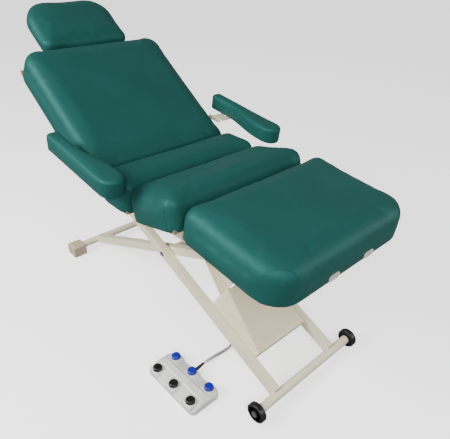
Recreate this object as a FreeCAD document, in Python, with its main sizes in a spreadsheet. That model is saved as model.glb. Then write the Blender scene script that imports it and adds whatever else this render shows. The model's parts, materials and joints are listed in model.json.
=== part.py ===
import FreeCAD, Part
import Sketcher
import math
import os
import re
from types import SimpleNamespace

from FreeCAD import Placement, Rotation, Vector

# Examination couch: a power-lifted, hinged treatment couch.
# +X points to the foot end and +Z up; +Y is the left hand of somebody who faces +X.
# The floor is z = 0 and lengths are millimetres.

DIMENSIONS = [
    # whole couch
    ("axle_x", 871.49, "foot axle ahead of the middle of the couch"),
    ("couch_width", 762.0, "upholstered width"),
    ("cushion_height", 150.0, "cushion with its board"),
    ("cushion_round", 44.0, "rounding of the upper cushion edges"),
    ("cushion_hem", 12.0, "rounding of the lower cushion edges"),
    ("plan_round", 48.0, "plan corner of a section"),
    ("board_height", 15.0, "plywood board let into a cushion"),
    ("board_inset", 16.0, "cushion rim around its board"),
    ("board_gap", 0.4, "gap around a board"),
    ("tunnel_deep", 86.0, "recess under the back for its raised actuator"),
    # scissor lift
    ("lift_angle", 22.6, "slope of the legs at rest"),
    ("lower_arm", 802.0, "floor axle to middle pivot"),
    ("upper_arm", 550.0, "middle pivot to carriage pivot"),
    ("leg_wide", 34.0, "leg tube across"),
    ("leg_deep", 42.0, "leg tube in depth"),
    ("tube_wall", 3.0, "wall of the square tubes"),
    ("outer_leg_y", 178.0, "middle of an outer leg"),
    ("inner_leg_y", 137.0, "middle of an inner leg"),
    ("leg_overrun", 24.0, "leg beyond its upper pivot"),
    ("floor_tube_radius", 19.0, "foot and head cross tubes"),
    ("floor_tube_height", 42.5, "axis of both cross tubes"),
    ("pivot_radius", 8.0, "middle and upper pivot pins"),
    ("running_gap", 0.08, "radial clearance of turning pins"),
    # wheels and feet
    ("wheel_radius", 42.5, "castor wheel"),
    ("wheel_wide", 26.0, "castor wheel"),
    ("wheel_round", 5.0, "rounding of the tread"),
    ("wheel_y", 301.0, "middle of a wheel"),
    ("hub_radius", 17.0, "wheel hub"),
    ("axle_radius", 6.0, "wheel axle"),
    ("block_long", 80.0, "head end foot block"),
    ("block_wide", 74.0, "head end foot block"),
    ("block_high", 66.0, "head end foot block"),
    ("block_y", 284.0, "middle of a foot block"),
    ("block_bevel", 9.0, "bevel of a foot block"),
    # carriage under the seat
    ("rail_wide", 30.0, "carriage rail"),
    ("rail_deep", 50.0, "carriage rail"),
    ("rail_y", 215.0, "middle of a carriage rail"),
    ("rail_tail", 45.0, "rail behind the upper pivot"),
    ("rail_long", 1190.0, "carriage rail"),
    ("cross_size", 40.0, "cross members on the rails"),
    ("rear_cross_x", 388.0, "rear cross member ahead of the upper pivot"),
    ("front_cross_x", 498.0, "front cross member start"),
    ("end_tube_x", 1112.0, "foot end tube of the carriage"),
    ("channel_start", 900.0, "roller channel from the upper pivot"),
    ("channel_long", 205.0, "roller channel"),
    ("channel_wall", 3.5, "roller channel"),
    ("roller_radius", 20.8, "carriage roller"),
    ("roller_wide", 30.0, "carriage roller"),
    # hinges of the upholstered sections
    ("hinge_z", 170.0, "section hinges above the upper pivot"),
    ("back_hinge_x", 273.0, "back hinge ahead of the upper pivot"),
    ("seat_hinge_x", 582.0, "thigh hinge ahead of the upper pivot"),
    ("hinge_inset", 48.0, "hinge line behind a section's end face"),
    ("end_reach", 45.0, "section end beyond its hinge line"),
    ("lug_radius", 14.0, "hinge plates round their pins"),
    ("yoke_radius", 12.0, "plates round the actuator pins of the sections"),
    ("knee_lug_radius", 11.0, "hinge plates round the knee pins"),
    ("hinge_pin", 6.0, "radius of the hinge pins"),
    ("plate_wall", 6.0, "hinge plates"),
    ("post_y", 298.5, "outer face of the fixed hinge posts"),
    ("arm_y", 291.5, "outer face of the moving hinge arms"),
    ("slot_wide", 20.0, "hinge slots in the cushions"),
    ("slot_y", 282.0, "inner side of the hinge slots"),
    # back section
    ("back_angle", 33.6, "back above the seat plane"),
    ("back_long", 752.0, "back section"),
    ("back_corner", 80.0, "upper corners of the back"),
    ("section_rail", 25.0, "square rails under the sections"),
    ("section_rail_y", 273.5, "middle of the rails under back and thigh"),
    # thigh and leg sections
    ("thigh_angle", 14.5, "thigh section above the seat plane"),
    ("thigh_long", 303.0, "thigh section"),
    ("knee_angle", 21.025, "bend between thigh and leg section"),
    ("knee_x", 260.0, "knee hinge ahead of the thigh hinge"),
    ("knee_drop", 117.0, "knee hinge below the thigh hinge"),
    ("leg_long", 490.0, "leg section"),
    ("leg_corner", 105.0, "foot end corners of the leg section"),
    ("leg_rail_y", 280.5, "middle of the rails under the leg section"),
    # head rest
    ("head_start", 712.0, "head rest beyond the back hinge"),
    ("head_long", 316.0, "head rest"),
    ("head_rise", 60.0, "head rest board above its rods"),
    ("head_wide", 470.0, "head rest"),
    ("head_high", 85.0, "head rest"),
    ("head_corner", 132.0, "outer corners of the head rest"),
    ("head_round", 36.0, "upper edge of the head rest"),
    ("head_rod", 8.0, "radius of the head rest rods"),
    ("head_rod_y", 101.6, "middle of a head rest rod"),
    ("head_rod_z", 117.0, "head rest rods below the back hinge"),
    ("head_bar_x", 772.0, "head rest tilt bar beyond the back hinge"),
    # face rest receivers
    ("socket_bore", 8.0, "radius of the face rest bores"),
    ("socket_deep", 70.0, "depth of the face rest bores"),
    ("socket_y", 101.6, "middle of a face rest bore"),
    ("socket_z", 42.0, "face rest bores above the knee hinge"),
    # arm rests
    ("arm_long", 486.0, "arm rest"),
    ("arm_tail", 62.0, "arm rest behind its pivot"),
    ("arm_inner", 388.0, "inner edge of an arm rest"),
    ("arm_outer", 492.0, "outer edge of an arm rest"),
    ("arm_high", 80.0, "arm rest"),
    ("arm_corner", 20.0, "rear corners of an arm rest"),
    ("arm_round", 18.0, "upper edge of an arm rest"),
    ("arm_hem", 8.0, "lower edge of an arm rest"),
    ("arm_slope", 7.0, "arm rest slope"),
    ("arm_pivot_x", 115.0, "arm pivot behind the back hinge"),
    ("arm_lift", 16.0, "arm cushion above its pivot"),
    # actuators
    ("tube_radius", 20.0, "actuator tubes"),
    ("rod_radius", 9.5, "actuator rods"),
    ("rod_room", 16.2, "bore of an actuator tube"),
    ("eye_radius", 14.0, "actuator eyes"),
    ("eye_wide", 20.0, "actuator eyes"),
    ("eye_pin", 5.0, "radius of the actuator pins"),
    ("lift_pin_x", 565.0, "lift actuator pin below the middle pivot"),
    ("lift_pin_z", 24.0, "lift actuator pin above the leg axis"),
    ("crank_long", 129.5, "lift crank"),
    ("crank_angle", 67.8, "lift crank above the inner legs"),
    ("drive_arm", 243.0, "back hinge to either back actuator pin"),
    ("drive_from", 65.8, "back actuator pin below level at the back hinge"),
    ("drive_lug", 147.7, "back frame pin round from the back hinge"),
    ("drive_y", 65.0, "middle of the back actuator"),
    ("knee_arm", 246.0, "thigh hinge to either knee actuator pin"),
    ("knee_from", 119.2, "knee actuator pin round from the thigh hinge"),
    ("knee_lug", 33.3, "thigh frame pin round from the thigh hinge"),
    ("knee_y", -65.0, "middle of the knee actuator"),
    # knee links
    ("link_x", 1016.0, "link pin ahead of the upper pivot"),
    ("link_z", 12.0, "link pin above the upper pivot"),
    ("link_lug_x", 308.0, "link pin of the leg section"),
    ("link_lug_z", 40.0, "link pin below the knee hinge"),
    ("link_y", 248.0, "outer face of a link"),
    ("link_slot", 22.0, "free play along a link"),
    # motor cover
    ("cover_wall", 3.0, "moulded cover"),
    ("cover_half", 159.5, "half width of the cover"),
    ("cover_foot", 632.0, "foot end of the cover below the middle pivot"),
    ("cover_ledge", 336.0, "ledge of the cover"),
    ("cover_tip", 140.0, "upper end of the cover"),
    # foot control
    ("pedal_long", 306.0, "foot control"),
    ("pedal_wide", 148.0, "foot control"),
    ("pedal_high", 38.0, "foot control"),
    ("pedal_x", -325.0, "middle of the foot control"),
    ("pedal_y", -410.0, "middle of the foot control"),
    ("button_radius", 20.0, "foot buttons"),
    ("button_high", 13.0, "foot buttons above the casing"),
    ("button_dome", 7.0, "rounding of a button's top"),
    ("button_step", 110.0, "foot buttons along the casing"),
    ("button_row", 49.0, "button rows from the middle"),
    ("cord_radius", 7.5, "curled cord"),
]
ALIASES = {alias for alias, value, note in DIMENSIONS}

doc = FreeCAD.newDocument("examination_couch")
sheet = doc.addObject("Spreadsheet::Sheet", "Dimensions")
for row, (alias, value, note) in enumerate(DIMENSIONS, start=1):
    sheet.set(f"A{row}", note)
    sheet.set(f"B{row}", str(value))
    sheet.setAlias(f"B{row}", alias)
doc.recompute()
D = SimpleNamespace(**{alias: float(sheet.get(alias)) for alias in ALIASES})

SIDES = (("left", 1), ("right", -1))
UP = Vector(0, 0, 1)
ACROSS = Vector(0, 1, 0)
ALONG = Vector(1, 0, 0)
nodes = []


# ---------------------------------------------------------------- helpers


def turned(x, z, degrees=0.0, y=0.0):
    """A placement in the couch's side plane; positive degrees lower its +X end."""
    return Placement(Vector(x, y, z), Rotation(ACROSS, degrees))


def polar(radius, degrees):
    """Side-plane offset of a point: degrees counted up from +X."""
    angle = math.radians(degrees)
    return radius * math.cos(angle), radius * math.sin(angle)


def link(item, prop, formula):
    """Bind one size to a formula of spreadsheet aliases."""
    def cell(word):
        name = word.group()
        return "Dimensions." + name if name in ALIASES else name
    item.setExpression(prop, re.sub(r"[a-z_]+", cell, formula))


def block(size, at, where=None):
    """A box with its lower corner at a point; its three sizes are formulas."""
    item = doc.addObject("Part::Box", "block")
    for prop, formula in zip(("Length", "Width", "Height"), size):
        link(item, prop, formula)
    item.Placement = (where or Placement()) * Placement(Vector(*at), Rotation())
    return item


def rod(radius, length, at, axis=ACROSS):
    """A cylinder from a point along an axis; radius and length are formulas."""
    item = doc.addObject("Part::Cylinder", "rod")
    link(item, "Radius", radius)
    link(item, "Height", length)
    item.Placement = Placement(Vector(*at), Rotation(UP, axis))
    return item


def fuse(items, name="fuse"):
    """Weld several pieces into one."""
    item = doc.addObject("Part::MultiFuse", name)
    item.Shapes = items
    item.Refine = True
    return item


def cut(base, tools, name="cut"):
    """Take the tools away from a base."""
    item = doc.addObject("Part::Cut", name)
    item.Base = base
    item.Tool = tools[0] if len(tools) == 1 else fuse(tools)
    item.Refine = True
    return item


def group(items, name="group"):
    """Several separate solids as one sub-part."""
    item = doc.addObject("Part::Compound", name)
    item.Links = items
    return item


def node(item, label, where=None):
    """Name a finished sub-part and carry it into its place on the couch."""
    item.Label = label
    item.Placement = (where or Placement()) * item.Placement
    nodes.append(item)
    return item


def tube_x(length, wide, deep, at):
    """A hollow square tube along X, centred on its axis at a point."""
    x, y, z = at
    outer = block((length, wide, deep), (x, y - value(wide) / 2, z - value(deep) / 2))
    inner_size = (length, wide + " - 2 * tube_wall", deep + " - 2 * tube_wall")
    bore = block(
        (inner_size[0] + " + 2", inner_size[1], inner_size[2]),
        (x - 1, y - value(wide) / 2 + D.tube_wall, z - value(deep) / 2 + D.tube_wall),
    )
    return cut(outer, [bore])


def tube_y(half, wide, deep, at):
    """A hollow square tube across the couch, centred on the side plane."""
    x, z = at
    outer = block((wide, "2 * " + half, deep), (x - value(wide) / 2, -value(half), z - value(deep) / 2))
    bore = block(
        (wide + " - 2 * tube_wall", "2 * " + half + " + 2", deep + " - 2 * tube_wall"),
        (x - value(wide) / 2 + D.tube_wall, -value(half) - 1, z - value(deep) / 2 + D.tube_wall),
    )
    return cut(outer, [bore])


def value(name):
    """A plain number or the value of one alias."""
    return getattr(D, name) if name in ALIASES else float(name)


def origin_plane(body, role):
    """One of a body's own origin planes."""
    return next(plane for plane in body.Origin.OriginFeatures if plane.Role == role)


def sketch_in(body, name, role="XY_Plane", offset=0.0):
    """A sketch on an origin plane of its own body."""
    item = body.newObject("Sketcher::SketchObject", name)
    item.AttachmentSupport = (origin_plane(body, role), [""])
    item.MapMode = "FlatFace"
    item.AttachmentOffset = Placement(Vector(0, 0, offset), Rotation())
    return item


def constrain(item, kind, geometry, vertex, formula):
    """Hold one sketch vertex at a distance from the sketch origin."""
    start = item.getPoint(geometry, vertex)
    distance = start.x if kind == "DistanceX" else start.y
    index = item.addConstraint(Sketcher.Constraint(kind, -1, 1, geometry, vertex, distance))
    link(item, f"Constraints[{index}]", formula)


def rectangle(item, left, right, low, high, sizes=None):
    """A rectangle in a sketch from plain numbers, with its sides bound if formulas are given."""
    corners = [Vector(left, low, 0), Vector(right, low, 0), Vector(right, high, 0), Vector(left, high, 0)]
    first = item.GeometryCount
    for start, end in zip(corners, corners[1:] + corners[:1]):
        item.addGeometry(Part.LineSegment(start, end), False)
    for side in range(4):
        following = first + (side + 1) % 4
        item.addConstraint(Sketcher.Constraint("Coincident", first + side, 2, following, 1))
    for side, kind in enumerate(("Horizontal", "Vertical", "Horizontal", "Vertical")):
        item.addConstraint(Sketcher.Constraint(kind, first + side))
    if sizes:
        constrain(item, "DistanceX", first, 1, sizes[0])
        constrain(item, "DistanceX", first + 1, 2, sizes[1])
        constrain(item, "DistanceY", first, 1, sizes[2])
        constrain(item, "DistanceY", first + 1, 2, sizes[3])


def edges_where(shape, test):
    """Names of the edges whose every vertex and middle pass a test."""
    names = []
    for index, edge in enumerate(shape.Edges, start=1):
        middle = edge.valueAt((edge.FirstParameter + edge.LastParameter) / 2)
        points = [vertex.Point for vertex in edge.Vertexes] + [middle]
        if all(test(point) for point in points):
            names.append(f"Edge{index}")
    return names


def rounded(body, base, name, test, radius):
    """Fillet the edges of a body's feature that pass a test."""
    item = body.newObject("PartDesign::Fillet", name)
    item.Base = (base, edges_where(base.Shape, test))
    link(item, "Radius", radius)
    doc.recompute()
    return item


def padded_slab(name, x_range, half, base_z, height, sizes, corners, upper, lower):
    """An upholstered slab: corners holds (end of x range, radius alias) pairs."""
    body = doc.addObject("PartDesign::Body", name)
    outline = sketch_in(body, "outline", "XY_Plane", base_z)
    rectangle(outline, x_range[0], x_range[1], -half, half, sizes)
    pad = body.newObject("PartDesign::Pad", "slab")
    pad.Profile = outline
    link(pad, "Length", height)
    doc.recompute()
    feature = pad
    for number, (end, radius) in enumerate(corners):
        def at_end(point, end=end):
            return abs(point.x - end) < 1e-3 and abs(abs(point.y) - half) < 1e-3
        feature = rounded(body, feature, f"plan_corner_{number}", at_end, radius)
    top = feature.Shape.BoundBox.ZMax
    feature = rounded(body, feature, "upper_edge", lambda point: abs(point.z - top) < 1e-3, upper)
    feature = rounded(body, feature, "lower_edge", lambda point: abs(point.z - base_z) < 1e-3, lower)
    return body


def hollow_below(body, name, base_z, depth, boxes):
    """Pockets cut upward from the underside of a slab: boxes are x0, x1, y0, y1."""
    before = body.Shape.Volume
    floor = sketch_in(body, name + "_outline", "XY_Plane", base_z)
    for x0, x1, y0, y1 in boxes:
        rectangle(floor, x0, x1, y0, y1)
    pocket = body.newObject("PartDesign::Pocket", name)
    pocket.Profile = floor
    pocket.Reversed = True
    link(pocket, "Length", depth)
    doc.recompute()
    if body.Shape.Volume > before - 1.0:
        raise RuntimeError(f"{body.Name}: {name} cuts nothing")


def plate(points, outer_y, thickness):
    """A flat plate upright in the side plane; its larger y face is at outer_y."""
    body = doc.addObject("PartDesign::Body", "plate")
    outline = sketch_in(body, "outline", "XZ_Plane", -outer_y)
    vectors = [Vector(x, z, 0) for x, z in points]
    for start, end in zip(vectors, vectors[1:] + vectors[:1]):
        outline.addGeometry(Part.LineSegment(start, end), False)
    pad = body.newObject("PartDesign::Pad", "thickness")
    pad.Profile = outline
    link(pad, "Length", thickness)
    doc.recompute()
    return body


def disc(x, z, radius, outer_y, thickness):
    """A round boss in the side plane whose larger y face is at outer_y."""
    return rod(radius, thickness, (x, outer_y - value(thickness), z))


def both_sides(outer_y, thickness):
    """The larger-y face of a mirrored plate pair, left then right."""
    return (outer_y, value(thickness) - outer_y)


def strap(start, end, radius, outer_y, thickness):
    """A flat link with round ends between two side-plane points."""
    (x0, z0), (x1, z1) = start, end
    long = math.hypot(x1 - x0, z1 - z0)
    side_x = -(z1 - z0) / long * value(radius)
    side_z = (x1 - x0) / long * value(radius)
    outline = [
        (x0 + side_x, z0 + side_z),
        (x1 + side_x, z1 + side_z),
        (x1 - side_x, z1 - side_z),
        (x0 - side_x, z0 - side_z),
    ]
    return [
        plate(outline, outer_y, thickness),
        disc(x0, z0, radius, outer_y, thickness),
        disc(x1, z1, radius, outer_y, thickness),
    ]


# ---------------------------------------------------------------- frames

lift = math.radians(D.lift_angle)
middle_x = D.axle_x - D.lower_arm * math.cos(lift)
middle_z = D.floor_tube_height + D.lower_arm * math.sin(lift)
FLOOR = turned(D.axle_x, 0.0)
OUTER = turned(middle_x, middle_z, D.lift_angle)
INNER = turned(middle_x, middle_z, -D.lift_angle)
carriage_x = middle_x - D.upper_arm * math.cos(lift)
carriage_z = middle_z + D.upper_arm * math.sin(lift)
CARRIAGE = turned(carriage_x, carriage_z)
BACK = CARRIAGE * turned(D.back_hinge_x, D.hinge_z, D.back_angle)
THIGH = CARRIAGE * turned(D.seat_hinge_x, D.hinge_z, -D.thigh_angle)
LEG = THIGH * turned(D.knee_x, -D.knee_drop, D.knee_angle)
HEAD_FLOOR_X = D.axle_x - 2 * D.lower_arm * math.cos(lift)

deck_low = D.end_reach - D.cushion_height
rail_low = deck_low - D.section_rail
rail_mid = rail_low + D.section_rail / 2


# ---------------------------------------------------------------- scissor legs


def outer_leg(side):
    """One outer leg, welded to the foot tube and pinned to the carriage."""
    y = side * D.outer_leg_y
    length = "lower_arm + upper_arm + leg_overrun - floor_tube_radius + 3"
    start = -D.upper_arm - D.leg_overrun
    body = tube_x(length, "leg_wide", "leg_deep", (start, y, 0.0))
    far = y - D.leg_wide / 2 - 1
    hole = ("pivot_radius + running_gap", "leg_wide + 2")
    holes = [rod(*hole, (x, far, 0.0)) for x in (-D.upper_arm, 0.0)]
    saddle = rod("floor_tube_radius + 0.05", "leg_wide + 2", (D.lower_arm, far, 0.0))
    return cut(body, holes + [saddle])


def inner_leg(side):
    """One inner leg with the stub axle of its carriage roller."""
    y = side * D.inner_leg_y
    length = "lower_arm + upper_arm + leg_overrun - floor_tube_radius + 3"
    start = D.floor_tube_radius - 3 - D.lower_arm
    body = tube_x(length, "leg_wide", "leg_deep", (start, y, 0.0))
    far = y - D.leg_wide / 2 - 1
    hole = rod("pivot_radius + running_gap", "leg_wide + 2", (0.0, far, 0.0))
    saddle = rod("floor_tube_radius + 0.05", "leg_wide + 2", (-D.lower_arm, far, 0.0))
    inside = D.inner_leg_y + D.leg_wide / 2 - 0.5
    reach = D.roller_wide + 8.5
    stub_y = inside if side > 0 else -inside - reach
    stub = rod("axle_radius", str(reach), (D.upper_arm, stub_y, 0.0))
    end = D.leg_wide - 1
    end_cap = block((str(2.0), str(end), "leg_deep - 1"),
                    (D.upper_arm + D.leg_overrun, y - end / 2, -D.leg_deep / 2 + 0.5))
    return fuse([cut(body, [hole, saddle]), stub, end_cap])


for word, side in SIDES:
    node(outer_leg(side), f"outer_leg_{word}", OUTER)
    node(inner_leg(side), f"inner_leg_{word}", INNER)

tube_half = D.wheel_y - D.wheel_wide / 2 - 3.0
foot_tube = rod("floor_tube_radius", str(2 * tube_half), (D.lower_arm, -tube_half, 0.0))
foot_bore = rod("axle_radius + running_gap", str(2 * tube_half + 2), (D.lower_arm, -tube_half - 1, 0.0))
node(cut(foot_tube, [foot_bore]), "foot_cross_tube", OUTER)

head_half = D.block_y + D.block_wide / 2 - 12.0
head_tube = rod("floor_tube_radius", str(2 * head_half), (-D.lower_arm, -head_half, 0.0))
head_bore = rod("floor_tube_radius - tube_wall", str(2 * head_half + 2), (-D.lower_arm, -head_half - 1, 0.0))
node(cut(head_tube, [head_bore]), "head_cross_tube", INNER)


def foot_block(side):
    """A bevelled block foot, bored for the end of the head tube."""
    body = doc.addObject("PartDesign::Body", "foot_block")
    outline = sketch_in(body, "outline")
    y = side * D.block_y
    rectangle(outline, -D.block_long / 2, D.block_long / 2, y - D.block_wide / 2, y + D.block_wide / 2)
    pad = body.newObject("PartDesign::Pad", "height")
    pad.Profile = outline
    link(pad, "Length", "block_high")
    doc.recompute()
    bevel = body.newObject("PartDesign::Chamfer", "bevel")
    high = edges_where(pad.Shape, lambda point: point.z > D.block_high - 1e-3)
    bevel.Base = (pad, high)
    link(bevel, "Size", "block_bevel")
    doc.recompute()
    inner_y = y - side * D.block_wide / 2
    start = inner_y - 1 if side > 0 else inner_y - (D.block_wide - 11.5)
    bore = rod("floor_tube_radius + running_gap", "block_wide - 10.5", (0, start, D.floor_tube_height))
    return cut(body, [bore])


node(group([foot_block(side) for word, side in SIDES]), "foot_blocks", turned(HEAD_FLOOR_X, 0.0))


def middle_pin(side):
    """A headed pin through an outer and an inner leg."""
    low = D.inner_leg_y - D.leg_wide / 2 - 4.0
    high = D.outer_leg_y + D.leg_wide / 2
    shaft = rod("pivot_radius", str(high - low), (0, low if side > 0 else -high, 0))
    head = rod("pivot_radius + 4", "5", (0, high if side > 0 else -high - 5, 0))
    clip = rod("pivot_radius + 3", "3", (0, low - 0.5 if side > 0 else -low - 2.5, 0))
    return fuse([shaft, head, clip])


node(group([middle_pin(side) for word, side in SIDES]), "middle_pivot_pins", OUTER)


def brace():
    """Cross tube of the outer legs with the lift actuator's lower fork."""
    half = D.outer_leg_y - D.leg_wide / 2
    tube = tube_y(str(half), "30", "30", (D.lift_pin_x + 48.0, -23.0))
    outline = [
        (D.lift_pin_x + 36.0, -30.0),
        (D.lift_pin_x + 60.0, -12.0),
        (D.lift_pin_x + 40.0, 14.0),
        (D.lift_pin_x, D.lift_pin_z + D.eye_radius),
        (D.lift_pin_x - 14.0, D.lift_pin_z),
    ]
    pieces = [tube]
    for outer_y in both_sides(D.eye_wide / 2 + 1 + D.plate_wall, "plate_wall"):
        pieces.append(plate(outline, outer_y, "plate_wall"))
    pin_half = D.eye_wide / 2 + 1 + D.plate_wall + 3
    pieces.append(rod("eye_pin", str(2 * pin_half), (D.lift_pin_x, -pin_half, D.lift_pin_z)))
    strip_x = D.lower_arm - 322.0
    pieces.append(block(("30", str(2 * half), "5"), (strip_x, -half, -44.0)))
    for side in (-1, 1):
        pieces.append(block(("30", "5", "36"), (strip_x, side * (half - 2.5) - 2.5, -44.0)))
    return fuse(pieces)


node(brace(), "outer_leg_brace", OUTER)


def crank():
    """Torque tube between the inner legs with the lift crank plates."""
    half = D.inner_leg_y - D.leg_wide / 2 - 5.0
    tube = rod("17", str(2 * half), (0, -half, 0))
    pieces = [tube]
    tip = polar(D.crank_long, D.crank_angle)
    for outer_y in both_sides(D.eye_wide / 2 + 1 + D.plate_wall, "plate_wall"):
        pieces.extend(strap((0, 0), tip, "lug_radius", outer_y, "plate_wall"))
    pin_half = D.eye_wide / 2 + 1 + D.plate_wall + 3
    pieces.append(rod("eye_pin", str(2 * pin_half), (tip[0], -pin_half, tip[1])))
    for side in (-1, 1):
        inner = D.inner_leg_y - D.leg_wide / 2
        low = half - 6 if side > 0 else -inner
        arm = block(("60", str(inner - half + 6), "24"), (-105.0, low, -12.0))
        web = block(("106", "6", "24"), (-105.0, side * (half - 3) - 3, -12.0))
        pieces.extend([arm, web])
    return fuse(pieces)


node(crank(), "lift_crank", INNER)


# ---------------------------------------------------------------- wheels


def wheel():
    """A wheel with a raised hub, turned about its axle."""
    tread = rod("wheel_radius", "wheel_wide", (0, -D.wheel_wide / 2, 0))
    tread_edges = doc.addObject("Part::Fillet", "tread")
    tread_edges.Base = tread
    doc.recompute()
    rims = edges_where(tread.Shape, lambda point: abs(abs(point.y) - D.wheel_wide / 2) < 0.01)
    tread_edges.Edges = [(int(rim[4:]), D.wheel_round, D.wheel_round) for rim in rims]
    groove = []
    for side in (-1, 1):
        dish = rod("wheel_radius - 11", "6", (0, side * (D.wheel_wide / 2 - 1) - 3, 0))
        boss = rod("hub_radius", "8", (0, side * (D.wheel_wide / 2 - 1) - 4, 0))
        groove.append(cut(dish, [boss]))
    bore = rod("axle_radius + running_gap", "wheel_wide + 2", (0, -D.wheel_wide / 2 - 1, 0))
    return cut(tread_edges, groove + [bore])


for word, side in SIDES:
    node(wheel(), f"wheel_{word}", turned(D.axle_x, D.floor_tube_height, 0.0, side * D.wheel_y))

axle_half = D.wheel_y + D.wheel_wide / 2 + 2.0
axle = rod("axle_radius", str(2 * axle_half), (0, -axle_half, 0))
caps = [rod("axle_radius + 6", "4", (0, side * (axle_half + 1) - 2, 0)) for side in (-1, 1)]
node(fuse([axle] + caps), "wheel_axle", turned(D.axle_x, D.floor_tube_height))


# ---------------------------------------------------------------- carriage


def carriage_rail(side):
    """A carriage rail with the channel that its roller runs in."""
    y = side * D.rail_y
    rail = tube_x("rail_long", "rail_wide", "rail_deep", (-D.rail_tail, y, 0.0))
    face = D.rail_y - D.rail_wide / 2
    lip = face - (D.roller_wide + 8.0)
    wide = face - lip
    low_y = lip if side > 0 else -face
    flanges = []
    for z in (-D.rail_deep / 2, D.rail_deep / 2 - D.channel_wall):
        flanges.append(block(("channel_long", str(wide), "channel_wall"), (D.channel_start, low_y, z)))
    pin_long = D.plate_wall + 18.0
    link_at = face + D.rail_wide if side > 0 else -face - D.rail_wide - pin_long
    link_pin = rod("eye_pin", str(pin_long), (D.link_x, link_at, D.link_z))
    return group([rail, link_pin] + flanges)


for word, side in SIDES:
    node(carriage_rail(side), f"carriage_rail_{word}", CARRIAGE)


def top_pin(side):
    """A pin from a carriage rail through the top of an outer leg."""
    low = D.outer_leg_y - D.leg_wide / 2 - 2.0
    high = D.rail_y - D.rail_wide / 2
    shaft = rod("pivot_radius", str(high - low), (0, low if side > 0 else -high, 0))
    clip = rod("pivot_radius + 3", "2", (0, low - 2 if side > 0 else -low, 0))
    return fuse([shaft, clip])


node(group([top_pin(side) for word, side in SIDES]), "top_pivot_pins", CARRIAGE)


def fork(at, base, outer_y_middle):
    """Two lug plates from a cross member down to an actuator pin, with the pin."""
    x, z = at
    (left, right), level = base
    outline = [
        (left, level),
        (right, level),
        (x + D.eye_radius, z - 4.0),
        (x, z - D.eye_radius),
        (x - D.eye_radius, z),
    ]
    pieces = []
    for outer_y in both_sides(D.eye_wide / 2 + 1 + D.plate_wall, "plate_wall"):
        pieces.append(plate(outline, outer_y_middle + outer_y, "plate_wall"))
    half = D.eye_wide / 2 + 1 + D.plate_wall + 2
    pieces.append(rod("eye_pin", str(2 * half), (x, outer_y_middle - half, z)))
    return pieces


def yoke(at, root_x, middle_y):
    """Two links from a section's cross bar to an actuator pin, with the pin."""
    x, z = at
    pieces = []
    for outer_y in both_sides(D.eye_wide / 2 + 1 + D.plate_wall, "plate_wall"):
        pieces.extend(strap((root_x, rail_mid), (x, z), "yoke_radius", middle_y + outer_y, "plate_wall"))
    half = D.eye_wide / 2 + 1 + D.plate_wall + 2
    pieces.append(rod("eye_pin", str(2 * half), (x, middle_y - half, z)))
    return pieces


def post(hinge_x, reach, direction):
    """Outline of a hinge post: an upright at the hinge, a foot along a cross member."""
    low = D.rail_deep / 2 + 2.0
    high = D.rail_deep / 2 + D.cross_size - 3.0
    return [
        (hinge_x - direction * D.lug_radius, low),
        (reach, low),
        (reach, high),
        (hinge_x + direction * D.lug_radius, high),
        (hinge_x + direction * D.lug_radius, D.hinge_z),
        (hinge_x - direction * D.lug_radius, D.hinge_z),
    ]


def cross_member(start, hinge_x, reach, direction, drive):
    """A cross tube with its two hinge posts and an actuator fork."""
    half = D.post_y - D.plate_wall
    tube = tube_y(str(half), "cross_size", "cross_size",
                  (start + D.cross_size / 2, D.rail_deep / 2 + D.cross_size / 2))
    pieces = [tube]
    for outer_y in both_sides(D.post_y, "plate_wall"):
        pieces.append(plate(post(hinge_x, reach, direction), outer_y, "plate_wall"))
        pieces.append(disc(hinge_x, D.hinge_z, "lug_radius", outer_y, "plate_wall"))
    pin_long = D.plate_wall * 2 + 4.0
    for side in (-1, 1):
        low = D.post_y - pin_long if side > 0 else -D.post_y
        pieces.append(rod("hinge_pin", str(pin_long), (hinge_x, low, D.hinge_z)))
    pieces.extend(drive)
    return fuse(pieces)


drive_x, drive_z = polar(D.drive_arm, -D.drive_from)
back_pin = (D.back_hinge_x + drive_x, D.hinge_z + drive_z)
knee_x, knee_z = polar(D.knee_arm, -D.knee_from)
knee_pin = (D.seat_hinge_x + knee_x, D.hinge_z + knee_z)
rear_base = ((D.rear_cross_x + 2.0, D.rear_cross_x + D.cross_size - 2.0), D.rail_deep / 2 + 1.0)
front_base = ((D.front_cross_x + 2.0, D.front_cross_x + D.cross_size - 2.0), D.rail_deep / 2 + 1.0)
node(
    cross_member(D.rear_cross_x, D.back_hinge_x, D.rear_cross_x + D.cross_size, 1,
                 fork(back_pin, rear_base, D.drive_y)),
    "rear_cross_member", CARRIAGE,
)
node(
    cross_member(D.front_cross_x, D.seat_hinge_x, D.front_cross_x, -1,
                 fork(knee_pin, front_base, D.knee_y)),
    "front_cross_member", CARRIAGE,
)
end_half = D.rail_y - D.rail_wide / 2
node(tube_y(str(end_half), "30", "30", (D.end_tube_x + 15.0, 0.0)), "carriage_end_tube", CARRIAGE)


def roller(side):
    """A carriage roller, bored for its stub axle."""
    inside = D.inner_leg_y + D.leg_wide / 2 + 5.0
    low = inside if side > 0 else -inside - D.roller_wide
    body = rod("roller_radius", "roller_wide", (0, low, 0))
    bore = rod("axle_radius + running_gap", "roller_wide + 2", (0, low - 1, 0))
    return cut(body, [bore])


roller_at = INNER * Placement(Vector(D.upper_arm, 0, 0), Rotation())
for word, side in SIDES:
    node(roller(side), f"carriage_roller_{word}", roller_at)


# ---------------------------------------------------------------- upholstered sections


def board(x_range, half, base_z, label, where):
    """A plywood board let flush into the underside of a cushion."""
    inset = D.board_inset + D.board_gap
    left, right = x_range[0] + inset, x_range[1] - inset
    wide = half - inset
    item = block((str(right - left), str(2 * wide), "board_height"), (left, -wide, base_z))
    return node(item, label, where)


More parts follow.
